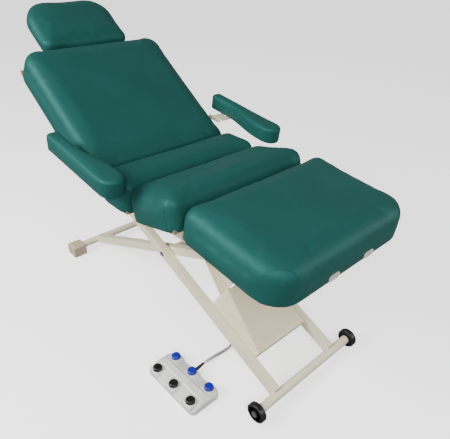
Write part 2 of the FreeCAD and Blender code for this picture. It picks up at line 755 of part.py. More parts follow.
def hinge_slots(x0, x1):
    """Slots for the hinge plates at both sides of a section."""
    return [(x0, x1, side_low, side_low + D.slot_wide)
            for side_low in (D.slot_y, -D.slot_y - D.slot_wide)]


def section(name, where, x_range, base_z, sizes, corners, slots, tunnel=None):
    """A cushion; slots holds (x0, x1) runs for hinge plates, tunnel a run for an actuator."""
    half = D.couch_width / 2
    y_sizes = ("-couch_width / 2", "couch_width / 2")
    body = padded_slab(name, x_range, half, base_z, "cushion_height", sizes + y_sizes,
                       corners, "cushion_round", "cushion_hem")
    inset = D.board_inset
    ends = list(x_range)
    recess = [ends[0] + inset, ends[1] - inset, -half + inset, half - inset]
    hollow_below(body, "board_recess", base_z, "board_height", [recess])
    for number, (x0, x1) in enumerate(slots):
        hollow_below(body, f"hinge_slot_{number}", base_z,
                     "cushion_height - end_reach + lug_radius + 2", hinge_slots(x0, x1))
    if tunnel:
        hollow_below(body, "actuator_tunnel", base_z, "tunnel_deep", [tunnel])
    node(body, name, where)


def notched_board(x_range, base_z, slots, label, where, tunnel=None):
    """A section's board, notched where the hinge plates and the actuator pass."""
    half = D.couch_width / 2
    inset = D.board_inset + D.board_gap
    left, right = x_range[0] + inset, x_range[1] - inset
    wide = half - inset
    item = block((str(right - left), str(2 * wide), "board_height"), (left, -wide, base_z))
    tools = []
    for x0, x1 in slots:
        for low in (D.slot_y, -D.slot_y - D.slot_wide):
            tools.append(block((str(x1 - x0), "slot_wide", "board_height + 2"), (x0, low, base_z - 1)))
    if tunnel:
        x0, x1, y0, y1 = tunnel
        tools.append(block((str(x1 - x0), str(y1 - y0), "board_height + 2"), (x0, y0, base_z - 1)))
    node(cut(item, tools) if tools else item, label, where)


seat_base = D.hinge_z + deck_low
seat_x = (D.back_hinge_x + D.hinge_inset, D.seat_hinge_x - D.hinge_inset)
section("rear_seat_cushion", CARRIAGE, seat_x, seat_base,
        ("back_hinge_x + hinge_inset", "seat_hinge_x - hinge_inset"),
        ((seat_x[0], "plan_round"), (seat_x[1], "plan_round")), ())
notched_board(seat_x, seat_base, (), "rear_seat_board", CARRIAGE)

back_x = (D.end_reach - D.back_long, D.end_reach)
back_slots = ((-92.0, D.end_reach + 1.0),)
back_tunnel = (-195.0, D.end_reach + 1.0, D.drive_y - 25.0, D.drive_y + 58.0)
section("back_cushion", BACK, back_x, deck_low,
        ("end_reach - back_long", "end_reach"),
        ((back_x[0], "back_corner"), (back_x[1], "plan_round")), back_slots, back_tunnel)
notched_board(back_x, deck_low, back_slots, "back_board", BACK, back_tunnel)

thigh_x = (-D.end_reach, D.thigh_long - D.end_reach)
thigh_slots = ((-D.end_reach - 1.0, 92.0),)
section("thigh_cushion", THIGH, thigh_x, deck_low,
        ("-end_reach", "thigh_long - end_reach"),
        ((thigh_x[0], "plan_round"), (thigh_x[1], "plan_round")), thigh_slots)
notched_board(thigh_x, deck_low, thigh_slots, "thigh_board", THIGH)

leg_gap = D.thigh_long - D.end_reach - D.knee_x
leg_base = D.knee_drop + deck_low
leg_x = (-leg_gap, D.leg_long)


def leg_section():
    """The leg cushion with two bores for the face rest receivers."""
    half = D.couch_width / 2
    sizes = (str(leg_x[0]), "leg_long", "-couch_width / 2", "couch_width / 2")
    body = padded_slab("leg_cushion_body", leg_x, half, leg_base, "cushion_height", sizes,
                       ((leg_x[0], "plan_round"), (leg_x[1], "leg_corner")),
                       "cushion_round", "cushion_hem")
    inset = D.board_inset
    recess = (leg_x[0] + inset, leg_x[1] - inset - 60.0, -half + inset, half - inset)
    hollow_below(body, "board_recess", leg_base, "board_height", [recess])
    bores = []
    for side in (-1, 1):
        at = (D.leg_long - D.socket_deep - 6.0, side * D.socket_y, D.socket_z)
        bores.append(rod("socket_bore + 3.2", "socket_deep + 8", at, ALONG))
    return cut(body, bores, "leg_cushion")


node(leg_section(), "leg_cushion", LEG)
board((leg_x[0], leg_x[1] - 60.0), D.couch_width / 2, leg_base, "leg_board", LEG)


def receiver(side):
    """A face rest receiver: an obround flange and a blind bored tube."""
    y = side * D.socket_y
    face = D.leg_long + 0.2
    stem = rod("socket_bore + 3", "socket_deep + 4", (face - D.socket_deep - 4, y, D.socket_z), ALONG)
    flange = [block(("3", "30", "27"), (face, y - 15, D.socket_z - 13.5))]
    for end in (-15, 15):
        flange.append(rod("13.5", "3", (face, y + end, D.socket_z), ALONG))
    bore = rod("socket_bore", "socket_deep + 1", (face + 3 - D.socket_deep, y, D.socket_z), ALONG)
    return cut(fuse([stem] + flange), [bore])


node(group([receiver(side) for word, side in SIDES]), "face_rest_receivers", LEG)


# ---------------------------------------------------------------- frames under the sections


def section_rails(x0, x1, rail_y, low):
    """Two square rails under a section's board."""
    rails = []
    for side in (-1, 1):
        at = (x0, side * rail_y, low + D.section_rail / 2)
        rails.append(tube_x(str(x1 - x0), "section_rail", "section_rail", at))
    return rails


def cross_bar(x, half, low):
    """A square bar across a section."""
    wide = D.section_rail
    return block(("section_rail", str(2 * half), "section_rail"), (x - wide / 2, -half, low))


def arm_plates(points_by_strap, radius):
    """Moving hinge plates: straps in the moving plate plane on both sides."""
    pieces = []
    for outer_y in both_sides(D.arm_y, "plate_wall"):
        for start, end in points_by_strap:
            pieces.extend(strap(start, end, radius, outer_y, "plate_wall"))
    return pieces


def pin_holes(points, radius, outer_y):
    """Clearance holes for pins through the plates of both sides."""
    holes = []
    for x, z in points:
        for low in (outer_y - D.plate_wall - 1, -outer_y - 1):
            holes.append(rod(radius, "plate_wall + 2", (x, low, z)))
    return holes


def back_frame():
    """Back frame: rails, cross bars, hinge arms, head sleeves, arm posts, drive lug."""
    tail = D.end_reach - D.back_long + 60.0
    head = -62.0
    inner = D.section_rail_y - D.section_rail / 2
    pieces = section_rails(tail, head, D.section_rail_y, rail_low)
    bar_x = [D.end_reach - D.back_long + 75.0, -D.arm_pivot_x]
    pieces.append(cross_bar(bar_x[0], inner + 0.5, rail_low))
    pieces.extend(arm_plates([((0.0, 0.0), (-75.0, rail_mid))], "lug_radius"))
    ear_in = D.couch_width / 2 + 1.5
    for side in (-1, 1):
        outer = D.section_rail_y + D.section_rail / 2 - 0.5
        low = outer if side > 0 else -ear_in - 4.0
        pieces.append(block(("section_rail", str(ear_in + 4.0 - outer), "section_rail"),
                            (bar_x[1] - D.section_rail / 2, low, rail_low)))
        ear_y = ear_in + 4.0 if side > 0 else -ear_in
        pieces.extend(strap((bar_x[1], rail_mid), (bar_x[1], 0.0), "12", ear_y, "4"))
        pin_y = ear_in if side > 0 else -ear_in - 12.0
        pieces.append(rod("eye_pin", "12", (bar_x[1], pin_y, 0.0)))
    for side in (-1, 1):
        start = D.end_reach - D.back_long + 6.0
        sleeve = rod("head_rod + 3.2", "150", (start, side * D.head_rod_y, -D.head_rod_z), ALONG)
        pieces.append(sleeve)
    lug = polar(D.drive_arm, -D.drive_lug)
    bar_at = lug[0] - D.eye_radius - D.section_rail / 2 - 2.0
    pieces.append(cross_bar(bar_at, inner + 0.5, rail_low))
    welded = fuse(pieces + yoke(lug, bar_at, D.drive_y))
    bores = pin_holes([(0.0, 0.0)], "hinge_pin + running_gap", D.arm_y)
    for side in (-1, 1):
        start = D.end_reach - D.back_long + 5.0
        bores.append(rod("head_rod + running_gap", "152", (start, side * D.head_rod_y, -D.head_rod_z), ALONG))
    return cut(welded, bores)


node(back_frame(), "back_frame", BACK)


def thigh_frame():
    """Thigh frame: rails, drive bar and lug, and side plates to both hinges."""
    inner = D.section_rail_y - D.section_rail / 2
    pieces = section_rails(62.0, D.knee_x - 13.0, D.section_rail_y, rail_low)
    pieces.extend(arm_plates([((0.0, 0.0), (75.0, rail_mid))], "lug_radius"))
    pieces.extend(arm_plates([((D.knee_x - 40.0, rail_mid), (D.knee_x, -D.knee_drop))], "knee_lug_radius"))
    lug = polar(D.knee_arm, -D.knee_lug)
    bar_at = lug[0] + D.eye_radius + D.section_rail / 2 + 2.0
    pieces.append(cross_bar(bar_at, inner + 0.5, rail_low))
    pieces.extend(yoke(lug, bar_at, D.knee_y))
    for side in (-1, 1):
        long = 2 * D.plate_wall + 3.0
        low = D.arm_y - D.plate_wall if side > 0 else D.plate_wall - D.arm_y - long
        pieces.append(rod("hinge_pin", str(long), (D.knee_x, low, -D.knee_drop)))
    welded = fuse(pieces)
    return cut(welded, pin_holes([(0.0, 0.0)], "hinge_pin + running_gap", D.arm_y))


node(thigh_frame(), "thigh_frame", THIGH)


def leg_frame():
    """Leg section frame: rails, cross bars, knee plates and link lugs."""
    low = leg_base - D.section_rail
    middle = low + D.section_rail / 2
    inner = D.leg_rail_y - D.section_rail / 2
    pieces = section_rails(20.0, D.leg_long - 90.0, D.leg_rail_y, low)
    for x in (70.0, D.leg_long - 110.0):
        pieces.append(cross_bar(x, inner + 0.5, low))
    for outer_y in both_sides(D.post_y, "plate_wall"):
        pieces.extend(strap((0.0, 0.0), (45.0, middle), "knee_lug_radius", outer_y, "plate_wall"))
    for side in (-1, 1):
        plate_y = inner if side > 0 else -inner + D.plate_wall
        outline = [
            (D.link_lug_x - 22.0, low + 4.0),
            (D.link_lug_x + 22.0, low + 4.0),
            (D.link_lug_x + 10.0, -D.link_lug_z - 8.0),
            (D.link_lug_x - 10.0, -D.link_lug_z - 8.0),
        ]
        pieces.append(plate(outline, plate_y, "plate_wall"))
        low_y = D.link_y - 10.0 if side > 0 else -inner
        pin_long = inner - D.link_y + 10.0
        pieces.append(rod("eye_pin", str(pin_long), (D.link_lug_x, low_y, -D.link_lug_z)))
    welded = fuse(pieces)
    return cut(welded, pin_holes([(0.0, 0.0)], "hinge_pin + running_gap", D.post_y))


node(leg_frame(), "leg_frame", LEG)

thigh_at_leg = LEG * Vector(D.link_lug_x, 0, -D.link_lug_z)
link_start = CARRIAGE * Vector(D.link_x, 0, D.link_z)
link_run = thigh_at_leg - link_start
link_long = math.hypot(link_run.x, link_run.z)
link_tilt = -math.degrees(math.atan2(link_run.z, link_run.x))


def knee_link(side):
    """A slotted link that steers the leg section as the knee rises."""
    outer_y = D.link_y if side > 0 else D.plate_wall - D.link_y
    slot = D.link_slot
    bar = fuse(strap((0.0, 0.0), (link_long + 5.0, 0.0), "13", outer_y, "plate_wall"))
    low = outer_y - D.plate_wall - 1
    tools = [rod("eye_pin + running_gap", "plate_wall + 2", (0, low, 0))]
    start, end = link_long - slot, link_long + 5.0
    for x in (start, end):
        tools.append(rod("eye_pin + 1.6", "plate_wall + 2", (x, low, 0)))
    tools.append(block((str(end - start), "plate_wall + 2", "2 * eye_pin + 3.2"),
                       (start, low, -D.eye_pin - 1.6)))
    return cut(bar, tools)


LINK = Placement(link_start, Rotation(ACROSS, link_tilt))
node(group([knee_link(side) for word, side in SIDES]), "knee_links", LINK)


# ---------------------------------------------------------------- actuators


def aimed(start, end):
    """A frame at a pin whose +X points at another pin."""
    run = end - start
    tilt = -math.degrees(math.atan2(run.z, run.x))
    return Placement(start, Rotation(ACROSS, tilt))


def actuator_body(long, y, motor_side):
    """Outer tube with its rear eye and a gear motor lying beside it."""
    eye = rod("eye_radius", "eye_wide", (0, y - D.eye_wide / 2, 0))
    shank = block(("70", "18", "22"), (0.0, y - 9.0, -11.0))
    head = block(("38", "36", "30"), (60.0, y - 18.0, -15.0))
    tube = rod("tube_radius", str(long - 90.0), (90.0, y, 0.0), ALONG)
    motor_y = y + motor_side * 37.5
    motor = rod("16", "86", (98.0, motor_y, 0.0), ALONG)
    bridge = block(("28", "30", "24"), (102.0, y + motor_side * 25.0 - 15.0, -12.0))
    bore = rod("rod_room", str(long - 99.0), (100.0, y, 0.0), ALONG)
    hole = rod("eye_pin + running_gap", "eye_wide + 2", (0, y - D.eye_wide / 2 - 1, 0))
    return cut(fuse([eye, shank, head, tube, motor, bridge]), [bore, hole])


def actuator_rod(long, y):
    """Sliding rod with the front eye at its origin, pointing back along -X."""
    shaft = rod("rod_radius", str(long), (-long, y, 0.0), ALONG)
    eye = rod("eye_radius", "eye_wide", (0, y - D.eye_wide / 2, 0))
    hole = rod("eye_pin + running_gap", "eye_wide + 2", (0, y - D.eye_wide / 2 - 1, 0))
    return cut(fuse([shaft, eye]), [hole])


crank_x, crank_z = polar(D.crank_long, D.crank_angle)
lift_start = OUTER * Vector(D.lift_pin_x, 0, D.lift_pin_z)
lift_end = INNER * Vector(crank_x, 0, crank_z)
LIFT = aimed(lift_start, lift_end)
LIFT_ROD = Placement(lift_end, LIFT.Rotation)
node(actuator_body(520.0, 0.0, 1), "lift_actuator_body", LIFT)
node(actuator_rod(300.0, 0.0), "lift_actuator_rod", LIFT_ROD)

drive_start = CARRIAGE * Vector(back_pin[0], 0, back_pin[1])
lug_x, lug_z = polar(D.drive_arm, -D.drive_lug)
drive_end = BACK * Vector(lug_x, 0, lug_z)
DRIVE = aimed(drive_start, drive_end)
DRIVE_ROD = Placement(drive_end, DRIVE.Rotation)
node(actuator_body(290.0, D.drive_y, 1), "back_actuator_body", DRIVE)
node(actuator_rod(210.0, D.drive_y), "back_actuator_rod", DRIVE_ROD)

knee_start = CARRIAGE * Vector(knee_pin[0], 0, knee_pin[1])
lug_x, lug_z = polar(D.knee_arm, -D.knee_lug)
knee_end = THIGH * Vector(lug_x, 0, lug_z)
KNEE = aimed(knee_start, knee_end)
KNEE_ROD = Placement(knee_end, KNEE.Rotation)
node(actuator_body(305.0, D.knee_y, -1), "knee_actuator_body", KNEE)
node(actuator_rod(222.0, D.knee_y), "knee_actuator_rod", KNEE_ROD)


# ---------------------------------------------------------------- head rest

head_low = D.head_rise - D.head_rod_z
head_x = (-D.head_start - D.head_long, -D.head_start)


def head_cushion():
    """Head rest pad with its board recess."""
    body = padded_slab("head_cushion", head_x, D.head_wide / 2, head_low, "head_high",
                       ("-head_start - head_long", "-head_start", "-head_wide / 2", "head_wide / 2"),
                       ((head_x[0], "head_corner"), (head_x[1], "head_round + 3")),
                       "head_round", "cushion_hem")
    recess = (head_x[0] + 70.0, head_x[1] - 20.0, -D.head_wide / 2 + 30.0, D.head_wide / 2 - 30.0)
    hollow_below(body, "board_recess", head_low, "board_height", [recess])
    return body


node(head_cushion(), "head_cushion", BACK)


def head_plate():
    """Board of the head rest with the two lugs that clamp the tilt bar."""
    left, right = head_x[0] + 70.4, head_x[1] - 20.4
    half = D.head_wide / 2 - 30.4
    pieces = [block((str(right - left), str(2 * half), "board_height"), (left, -half, head_low))]
    for side in (-1, 1):
        y = side * 60.0 - 8.0
        pieces.append(block(("36", "16", "head_rise + 5"), (-D.head_bar_x - 18.0, y, -D.head_rod_z)))
        pieces.append(rod("18", "16", (-D.head_bar_x, y, -D.head_rod_z)))
    hole = rod("head_rod + running_gap", "200", (-D.head_bar_x, -100, -D.head_rod_z))
    return cut(fuse(pieces), [hole])


node(head_plate(), "head_plate", BACK)

rod_run = D.head_bar_x - D.back_long + D.end_reach + 130.0
head_rods = [
    rod("head_rod", str(rod_run), (-D.head_bar_x, side * D.head_rod_y, -D.head_rod_z), ALONG)
    for side in (-1, 1)
]
head_rods.append(rod("head_rod", "2 * head_rod_y + 16", (-D.head_bar_x, -D.head_rod_y - 8, -D.head_rod_z)))
node(fuse(head_rods), "head_rods", BACK)


# ---------------------------------------------------------------- arm rests


def arm_pad(side):
    """A paddle shaped arm pad: narrow at the rear, broad and round at the front."""
    inner, outer = D.arm_inner, D.arm_outer
    rear, front = -D.arm_tail, D.arm_long - D.arm_tail
    nose = (outer - inner) / 2
    outline = [
        Vector(rear, outer, 0), Vector(front - nose, outer, 0),
        Vector(front, outer - nose, 0), Vector(front - nose, inner, 0),
        Vector(rear + 190.0, inner + 6.0, 0), Vector(rear, outer - 72.0, 0),
    ]
    spine = [
        Part.LineSegment(outline[0], outline[1]),
        Part.Arc(outline[1], outline[2], outline[3]),
        Part.LineSegment(outline[3], outline[4]),
        Part.LineSegment(outline[4], outline[5]),
        Part.LineSegment(outline[5], outline[0]),
    ]
    body = doc.addObject("PartDesign::Body", "arm_pad")
    sketch = sketch_in(body, "outline", "XY_Plane", D.arm_lift)
    for part in spine:
        sketch.addGeometry(part, False)
    pad = body.newObject("PartDesign::Pad", "thickness")
    pad.Profile = sketch
    link(pad, "Length", "arm_high")
    doc.recompute()
    corner_y = (outer, outer - 72.0)

    def at_rear(point):
        return abs(point.x - rear) < 1e-3 and min(abs(point.y - y) for y in corner_y) < 1e-3

    plan = rounded(body, pad, "rear_corners", at_rear, "arm_corner")
    top = D.arm_lift + D.arm_high
    upper = rounded(body, plan, "upper_edge", lambda point: abs(point.z - top) < 1e-3, "arm_round")
    rounded(body, upper, "lower_edge", lambda point: abs(point.z - D.arm_lift) < 1e-3, "arm_hem")
    hole = rod("6.2", "26", (60.0, D.arm_outer - 52.0, D.arm_lift - 1), UP)
    item = cut(body, [hole])
    if side > 0:
        return item
    mirrored = doc.addObject("Part::Mirroring", "mirrored")
    mirrored.Source = item
    mirrored.Normal = ACROSS
    return mirrored


def arm_bracket(side):
    """The levelled bracket that carries an arm pad on an upright pin."""
    near = D.couch_width / 2 + 6.5
    y = side * (D.arm_outer - 52.0)
    far = D.arm_outer - 36.0
    plate_y = near + 4.0 if side > 0 else -near
    pieces = strap((0.0, 0.0), (60.0, 2.0), "12", plate_y, "4")
    low = near if side > 0 else -far
    pieces.append(block(("70", str(far - near), "5"), (20.0, low, D.arm_lift - 5.0)))
    pieces.append(rod("6", "28", (60.0, y, D.arm_lift - 4.0), UP))
    hole = rod("eye_pin + running_gap", "20", (0, near - 8 if side > 0 else -near - 12, 0))
    return cut(fuse(pieces), [hole])


ARM = BACK * turned(-D.arm_pivot_x, 0.0, D.arm_slope - D.back_angle)
for word, side in SIDES:
    node(arm_pad(side), f"arm_cushion_{word}", ARM)
    node(arm_bracket(side), f"arm_bracket_{word}", ARM)


# ---------------------------------------------------------------- motor cover


def cover_section(x, half_low, half_top, low, shoulder, top):
    """A six-sided cross-section of the cover at one station."""
    points = [
        Vector(x, -half_low, low), Vector(x, -half_low, shoulder), Vector(x, -half_top, top),
        Vector(x, half_top, top), Vector(x, half_low, shoulder), Vector(x, half_low, low),
    ]
    return Part.makePolygon(points + points[:1])


def cover_shell(first, second, inset):
    """A ruled shell between two stations; inset shrinks it for the inside."""
    wires = []
    for x, half_low, half_top, low, shoulder, top in (first, second):
        wires.append(cover_section(x, half_low - inset, half_top - inset,
                                   low - 4 * inset, shoulder - inset, top - inset))
    return Part.makeLoft(wires, True, True)


def motor_cover():
    """Moulded cover: a faceted hump over the motor and a tongue over the actuator."""
    wall = D.cover_wall
    door = D.tube_radius + 8.0
    foot = (D.cover_foot, D.cover_half, 148.0, -5.0, 24.0, 34.0)
    ledge = (D.cover_ledge, D.cover_half, 104.0, -5.0, 26.0, 96.0)
    tongue = (D.cover_ledge, 96.0, 80.0, -5.0, 96.0, 112.0)
    tip = (D.cover_tip, 80.0, 52.0, 72.0, 108.0, 134.0)
    hump = cover_shell(foot, ledge, 0.0)
    outer = hump.fuse(cover_shell(tongue, tip, 0.0))
    inner_foot = (foot[0] - wall,) + foot[1:]
    inner_ledge = (ledge[0] + wall,) + ledge[1:]
    inner_tongue = (tongue[0] + 2 * wall,) + tongue[1:]
    inner_tip = (tip[0] + wall,) + tip[1:]
    inner = cover_shell(inner_foot, inner_ledge, wall).fuse(cover_shell(inner_tongue, inner_tip, wall))
    doorway = Part.makeBox(60.0, 2 * door, 90.0, Vector(D.cover_tip - 30.0, -door, 36.0))
    return outer.cut(inner).cut(doorway).removeSplitter()


cover = doc.addObject("Part::Feature", "motor_cover")
cover.Shape = motor_cover()
node(cover, "motor_cover", OUTER)


# ---------------------------------------------------------------- control box and cord

box_x = D.lower_arm - 410.0
box = block(("120", "98", "42"), (box_x, 50.0, -86.0))
node(box, "control_box", OUTER)

CORD = [
    Vector(-343, -280, 14), Vector(-347, -228, 8.5), Vector(-341, -172, 8), Vector(-337, -128, 14),
    Vector(-341, -84, 48), Vector(-345, -44, 88), Vector(-345, -8, 112), Vector(-345, 28, 112),
]
gland_face = CORD[-1]
gland_long = 22.0


def gland():
    """The strain relief on the control box."""
    cone = doc.addObject("Part::Cone", "cone")
    cone.Radius1 = D.cord_radius + 1.5
    cone.Radius2 = D.cord_radius + 4.0
    cone.Height = gland_long
    cone.Placement = Placement(gland_face, Rotation(UP, ACROSS))
    return cone


node(gland(), "control_gland", FLOOR)


def arc_path(points):
    """Straight runs joined by tangent arcs, as large as their runs allow."""
    edges = []
    start = points[0]
    radii = []
    for index in range(1, len(points) - 1):
        before, here, after = points[index - 1:index + 2]
        back = before - here
        ahead = after - here
        trim = 0.45 * min(back.Length, ahead.Length)
        back.normalize()
        ahead.normalize()
        half = back.getAngle(ahead) / 2
        radius = trim * math.tan(half)
        radii.append(round(radius, 1))
        middle = back + ahead
        middle.normalize()
        centre = here + middle * (radius / math.sin(half))
        enter = here + back * trim
        leave = here + ahead * trim
        edges.append(Part.LineSegment(start, enter).toShape())
        edges.append(Part.Arc(enter, centre - middle * radius, leave).toShape())
        start = leave
    edges.append(Part.LineSegment(start, points[-1]).toShape())
    print("cord radii", radii)
    return Part.Wire(edges)


def cord_tube():
    """The outer shape of the curled cord along its route."""
    path = arc_path(CORD)
    aim = CORD[1] - CORD[0]
    ring = Part.Wire(Part.makeCircle(D.cord_radius, CORD[0], aim))
    tube = path.makePipeShell([ring], True, False)
    expected = math.pi * D.cord_radius ** 2 * path.Length
    print("cord length", round(path.Length, 1), "volume ratio", round(tube.Volume / expected, 4))
    return tube


cord = doc.addObject("Part::Feature", "control_cord")
cord.Shape = cord_tube()
node(cord, "control_cord", FLOOR)


# ---------------------------------------------------------------- foot control


def casing():
    """Lower and upper shells of the foot control."""
    half_x, half_y = D.pedal_long / 2, D.pedal_wide / 2
    base = padded_slab("pedal_base", (-half_x, half_x), half_y, 0.0, "14",
                       ("-pedal_long / 2", "pedal_long / 2", "-pedal_wide / 2", "pedal_wide / 2"),
                       ((-half_x, "22"), (half_x, "22")), "1.5", "1.5")
    top = padded_slab("pedal_top", (-half_x, half_x), half_y, 14.2, "pedal_high - 14.2",
                      ("-pedal_long / 2", "pedal_long / 2", "-pedal_wide / 2", "pedal_wide / 2"),
                      ((-half_x, "22"), (half_x, "22")), "9", "0.8")
    return base, top


def button_places():
    """Names and centres of the six foot buttons."""
    names = ("lift", "back", "knee")
    for column, name in enumerate(names):
        x = (column - 1) * D.button_step
        yield f"{name}_up_button", x, D.button_row
        yield f"{name}_down_button", x, -D.button_row


def button():
    """A domed button with a square-shouldered stem."""
    stem = rod("button_radius - 1", "20.5", (0, 0, 20.0), UP)
    cap = rod("button_radius", "button_high - 3", (0, 0, D.pedal_high + 2.5), UP)
    doc.recompute()
    dome = doc.addObject("Part::Fillet", "dome")
    dome.Base = cap
    top = D.pedal_high + 2.5 + D.button_high - 3
    rims = [int(name[4:]) for name in edges_where(cap.Shape, lambda p: abs(p.z - top) < 1e-3)]
    dome.Edges = [(rim, D.button_dome, D.button_dome) for rim in rims]
    return fuse([stem, dome])


PEDAL = FLOOR * turned(D.pedal_x, 0.0, 0.0, D.pedal_y)
pedal_base, pedal_top = casing()
node(pedal_base, "foot_control_base", PEDAL)
wells = [rod("button_radius + 0.5", "40", (x, y, 15.5), UP) for name, x, y in button_places()]
boss = [rod("button_radius + 3", "4", (x, y, D.pedal_high - 2.5), UP) for name, x, y in button_places()]
ridge = block((str(D.pedal_long - 60.0), "26", "5"), (-(D.pedal_long - 60.0) / 2, -13.0, D.pedal_high - 2.0))
node(cut(fuse([pedal_top, ridge] + boss), wells), "foot_control_top", PEDAL)
for name, x, y in button_places():
    node(button(), name, PEDAL * Placement(Vector(x, y, 0), Rotation()))


def boot():
    """The strain relief where the cord leaves the foot control."""
    start = Vector(D.pedal_x - 8.0, D.pedal_y + D.pedal_wide / 2 + 0.1, 20.0)
    run = CORD[0] - start
    item = doc.addObject("Part::Cone", "boot")
    item.Radius1 = 8.5
    item.Radius2 = D.cord_radius - 1.0
    item.Height = run.Length
    item.Placement = Placement(start, Rotation(UP, run))
    return item


node(boot(), "cord_boot", FLOOR)


# ---------------------------------------------------------------- check and write

doc.recompute()
for item in doc.Objects:
    if "Invalid" in item.State or "Error" in item.State:
        raise RuntimeError(f"{item.Name} failed: {item.State}")
os.makedirs("parts", exist_ok=True)
for item in nodes:
    shape = item.Shape
    if shape.isNull() or not shape.isValid():
        raise RuntimeError(f"{item.Label} has no valid shape")
    shape.exportStep(os.path.join("parts", f"{item.Label}.step"))
print(len(nodes), "sub-parts")
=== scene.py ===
import json
import math

import bmesh
import bpy
from mathutils import Matrix, Vector
from mathutils.bvhtree import BVHTree


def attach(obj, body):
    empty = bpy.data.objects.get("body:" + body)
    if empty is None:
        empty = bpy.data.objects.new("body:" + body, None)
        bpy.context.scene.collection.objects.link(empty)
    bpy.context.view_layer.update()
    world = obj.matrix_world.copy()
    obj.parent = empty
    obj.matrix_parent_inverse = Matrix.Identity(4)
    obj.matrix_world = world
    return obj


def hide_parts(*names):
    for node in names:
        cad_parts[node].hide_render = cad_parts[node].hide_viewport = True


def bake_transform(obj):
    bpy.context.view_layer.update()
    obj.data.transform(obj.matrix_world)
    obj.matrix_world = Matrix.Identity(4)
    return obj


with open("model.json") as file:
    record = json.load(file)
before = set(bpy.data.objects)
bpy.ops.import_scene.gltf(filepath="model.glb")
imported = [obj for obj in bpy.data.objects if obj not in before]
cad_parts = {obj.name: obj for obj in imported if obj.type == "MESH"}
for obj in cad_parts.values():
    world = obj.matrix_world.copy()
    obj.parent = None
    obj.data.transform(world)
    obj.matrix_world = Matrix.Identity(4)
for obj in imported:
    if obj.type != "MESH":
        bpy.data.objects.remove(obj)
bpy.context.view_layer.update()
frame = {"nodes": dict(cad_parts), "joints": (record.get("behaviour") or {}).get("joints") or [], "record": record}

MM = 0.001
NODES = frame["nodes"]
JOINTS = {joint["name"]: joint for joint in frame["joints"]}
COUPLINGS = {c["joint"]: c for c in frame["record"]["behaviour"]["couplings"]}
SLOT_OF = {part["node"]: part["material_slot"] for part in frame["record"]["subparts"]}
AXLE = Vector(JOINTS["couch_lift"]["pos_m"])
ACROSS = Vector((0.0, 1.0, 0.0))


# ---------------------------------------------------------------- local frames


def hinge_frame(joint, degrees):
    """Local frame on a joint's axis in the side plane, turned about +Y."""
    x, _, z = JOINTS[joint]["pos_m"]
    return Matrix.Translation((x, 0.0, z)) @ Matrix.Rotation(math.radians(degrees), 4, "Y")


BACK_TILT = -JOINTS["back_tilt"]["range_deg"][0]
THIGH_TILT = JOINTS["thigh_tilt"]["range_deg"][0]
LEG_TILT = THIGH_TILT * (1.0 + COUPLINGS["knee_bend"]["ratio"])
ARM_TILT = 7.0
BACK = hinge_frame("back_tilt", BACK_TILT)
THIGH = hinge_frame("thigh_tilt", THIGH_TILT)
LEG = hinge_frame("knee_bend", LEG_TILT)
SEAT = Matrix.Identity(4)
ARM = hinge_frame("arm_left_tilt", ARM_TILT)


def local_box(node, where):
    """Lowest and highest corner of a CAD node in a local frame."""
    back = where.inverted()
    points = [back @ vertex.co for vertex in NODES[node].data.vertices]
    low = Vector([min(point[i] for point in points) for i in range(3)])
    high = Vector([max(point[i] for point in points) for i in range(3)])
    return low, high


# ---------------------------------------------------------------- camera

TARGET = AXLE + Vector((-0.5051, -0.0086, 0.5042))
CAMERA_DISTANCE = 2.0259
CAMERA_AZIMUTH = math.radians(46.163)
CAMERA_ELEVATION = math.radians(31.675)
CAMERA_ROLL = math.radians(1.887)
CAMERA_LENS = 37.21
CAMERA_SHIFT = (-0.0052, 0.0107)


def make_camera():
    """Camera at the couch's near foot corner, looking down on it."""
    azimuth, elevation, roll = CAMERA_AZIMUTH, CAMERA_ELEVATION, CAMERA_ROLL
    back = Vector((
        math.sin(azimuth) * math.cos(elevation),
        -math.cos(azimuth) * math.cos(elevation),
        math.sin(elevation),
    ))
    level = Vector((math.cos(azimuth), math.sin(azimuth), 0.0))
    up = back.cross(level)
    right = level * math.cos(roll) + up * math.sin(roll)
    above = up * math.cos(roll) - level * math.sin(roll)
    data = bpy.data.cameras.new("camera")
    data.lens = CAMERA_LENS
    data.shift_x, data.shift_y = CAMERA_SHIFT
    item = bpy.data.objects.new("camera", data)
    bpy.context.scene.collection.objects.link(item)
    turn = Matrix((right, above, back)).transposed().to_4x4()
    item.matrix_world = Matrix.Translation(TARGET + back * CAMERA_DISTANCE) @ turn
    bpy.context.scene.camera = item


make_camera()


# ---------------------------------------------------------------- mesh helpers


def add_mesh(name, vertices, faces, smooth=True):
    """A new mesh object in the scene from points and faces."""
    data = bpy.data.meshes.new(name)
    data.from_pydata([tuple(v) for v in vertices], [], faces)
    item = bpy.data.objects.new(name, data)
    bpy.context.scene.collection.objects.link(item)
    fix = bmesh.new()
    fix.from_mesh(data)
    bmesh.ops.recalc_face_normals(fix, faces=fix.faces)
    fix.to_mesh(data)
    fix.free()
    if smooth:
        data.polygons.foreach_set("use_smooth", [True] * len(data.polygons))
    return item


def loft(name, rings):
    """A skin over rings of equal point counts, capped at both ends."""
    count = len(rings[0])
    vertices = [point for ring in rings for point in ring]
    faces = []
    for level in range(len(rings) - 1):
        for step in range(count):
            following = (step + 1) % count
            faces.append((
                level * count + step,
                level * count + following,
                (level + 1) * count + following,
                (level + 1) * count + step,
            ))
    faces.append(tuple(range(count - 1, -1, -1)))
    last = (len(rings) - 1) * count
    faces.append(tuple(range(last, last + count)))
    return add_mesh(name, vertices, faces)


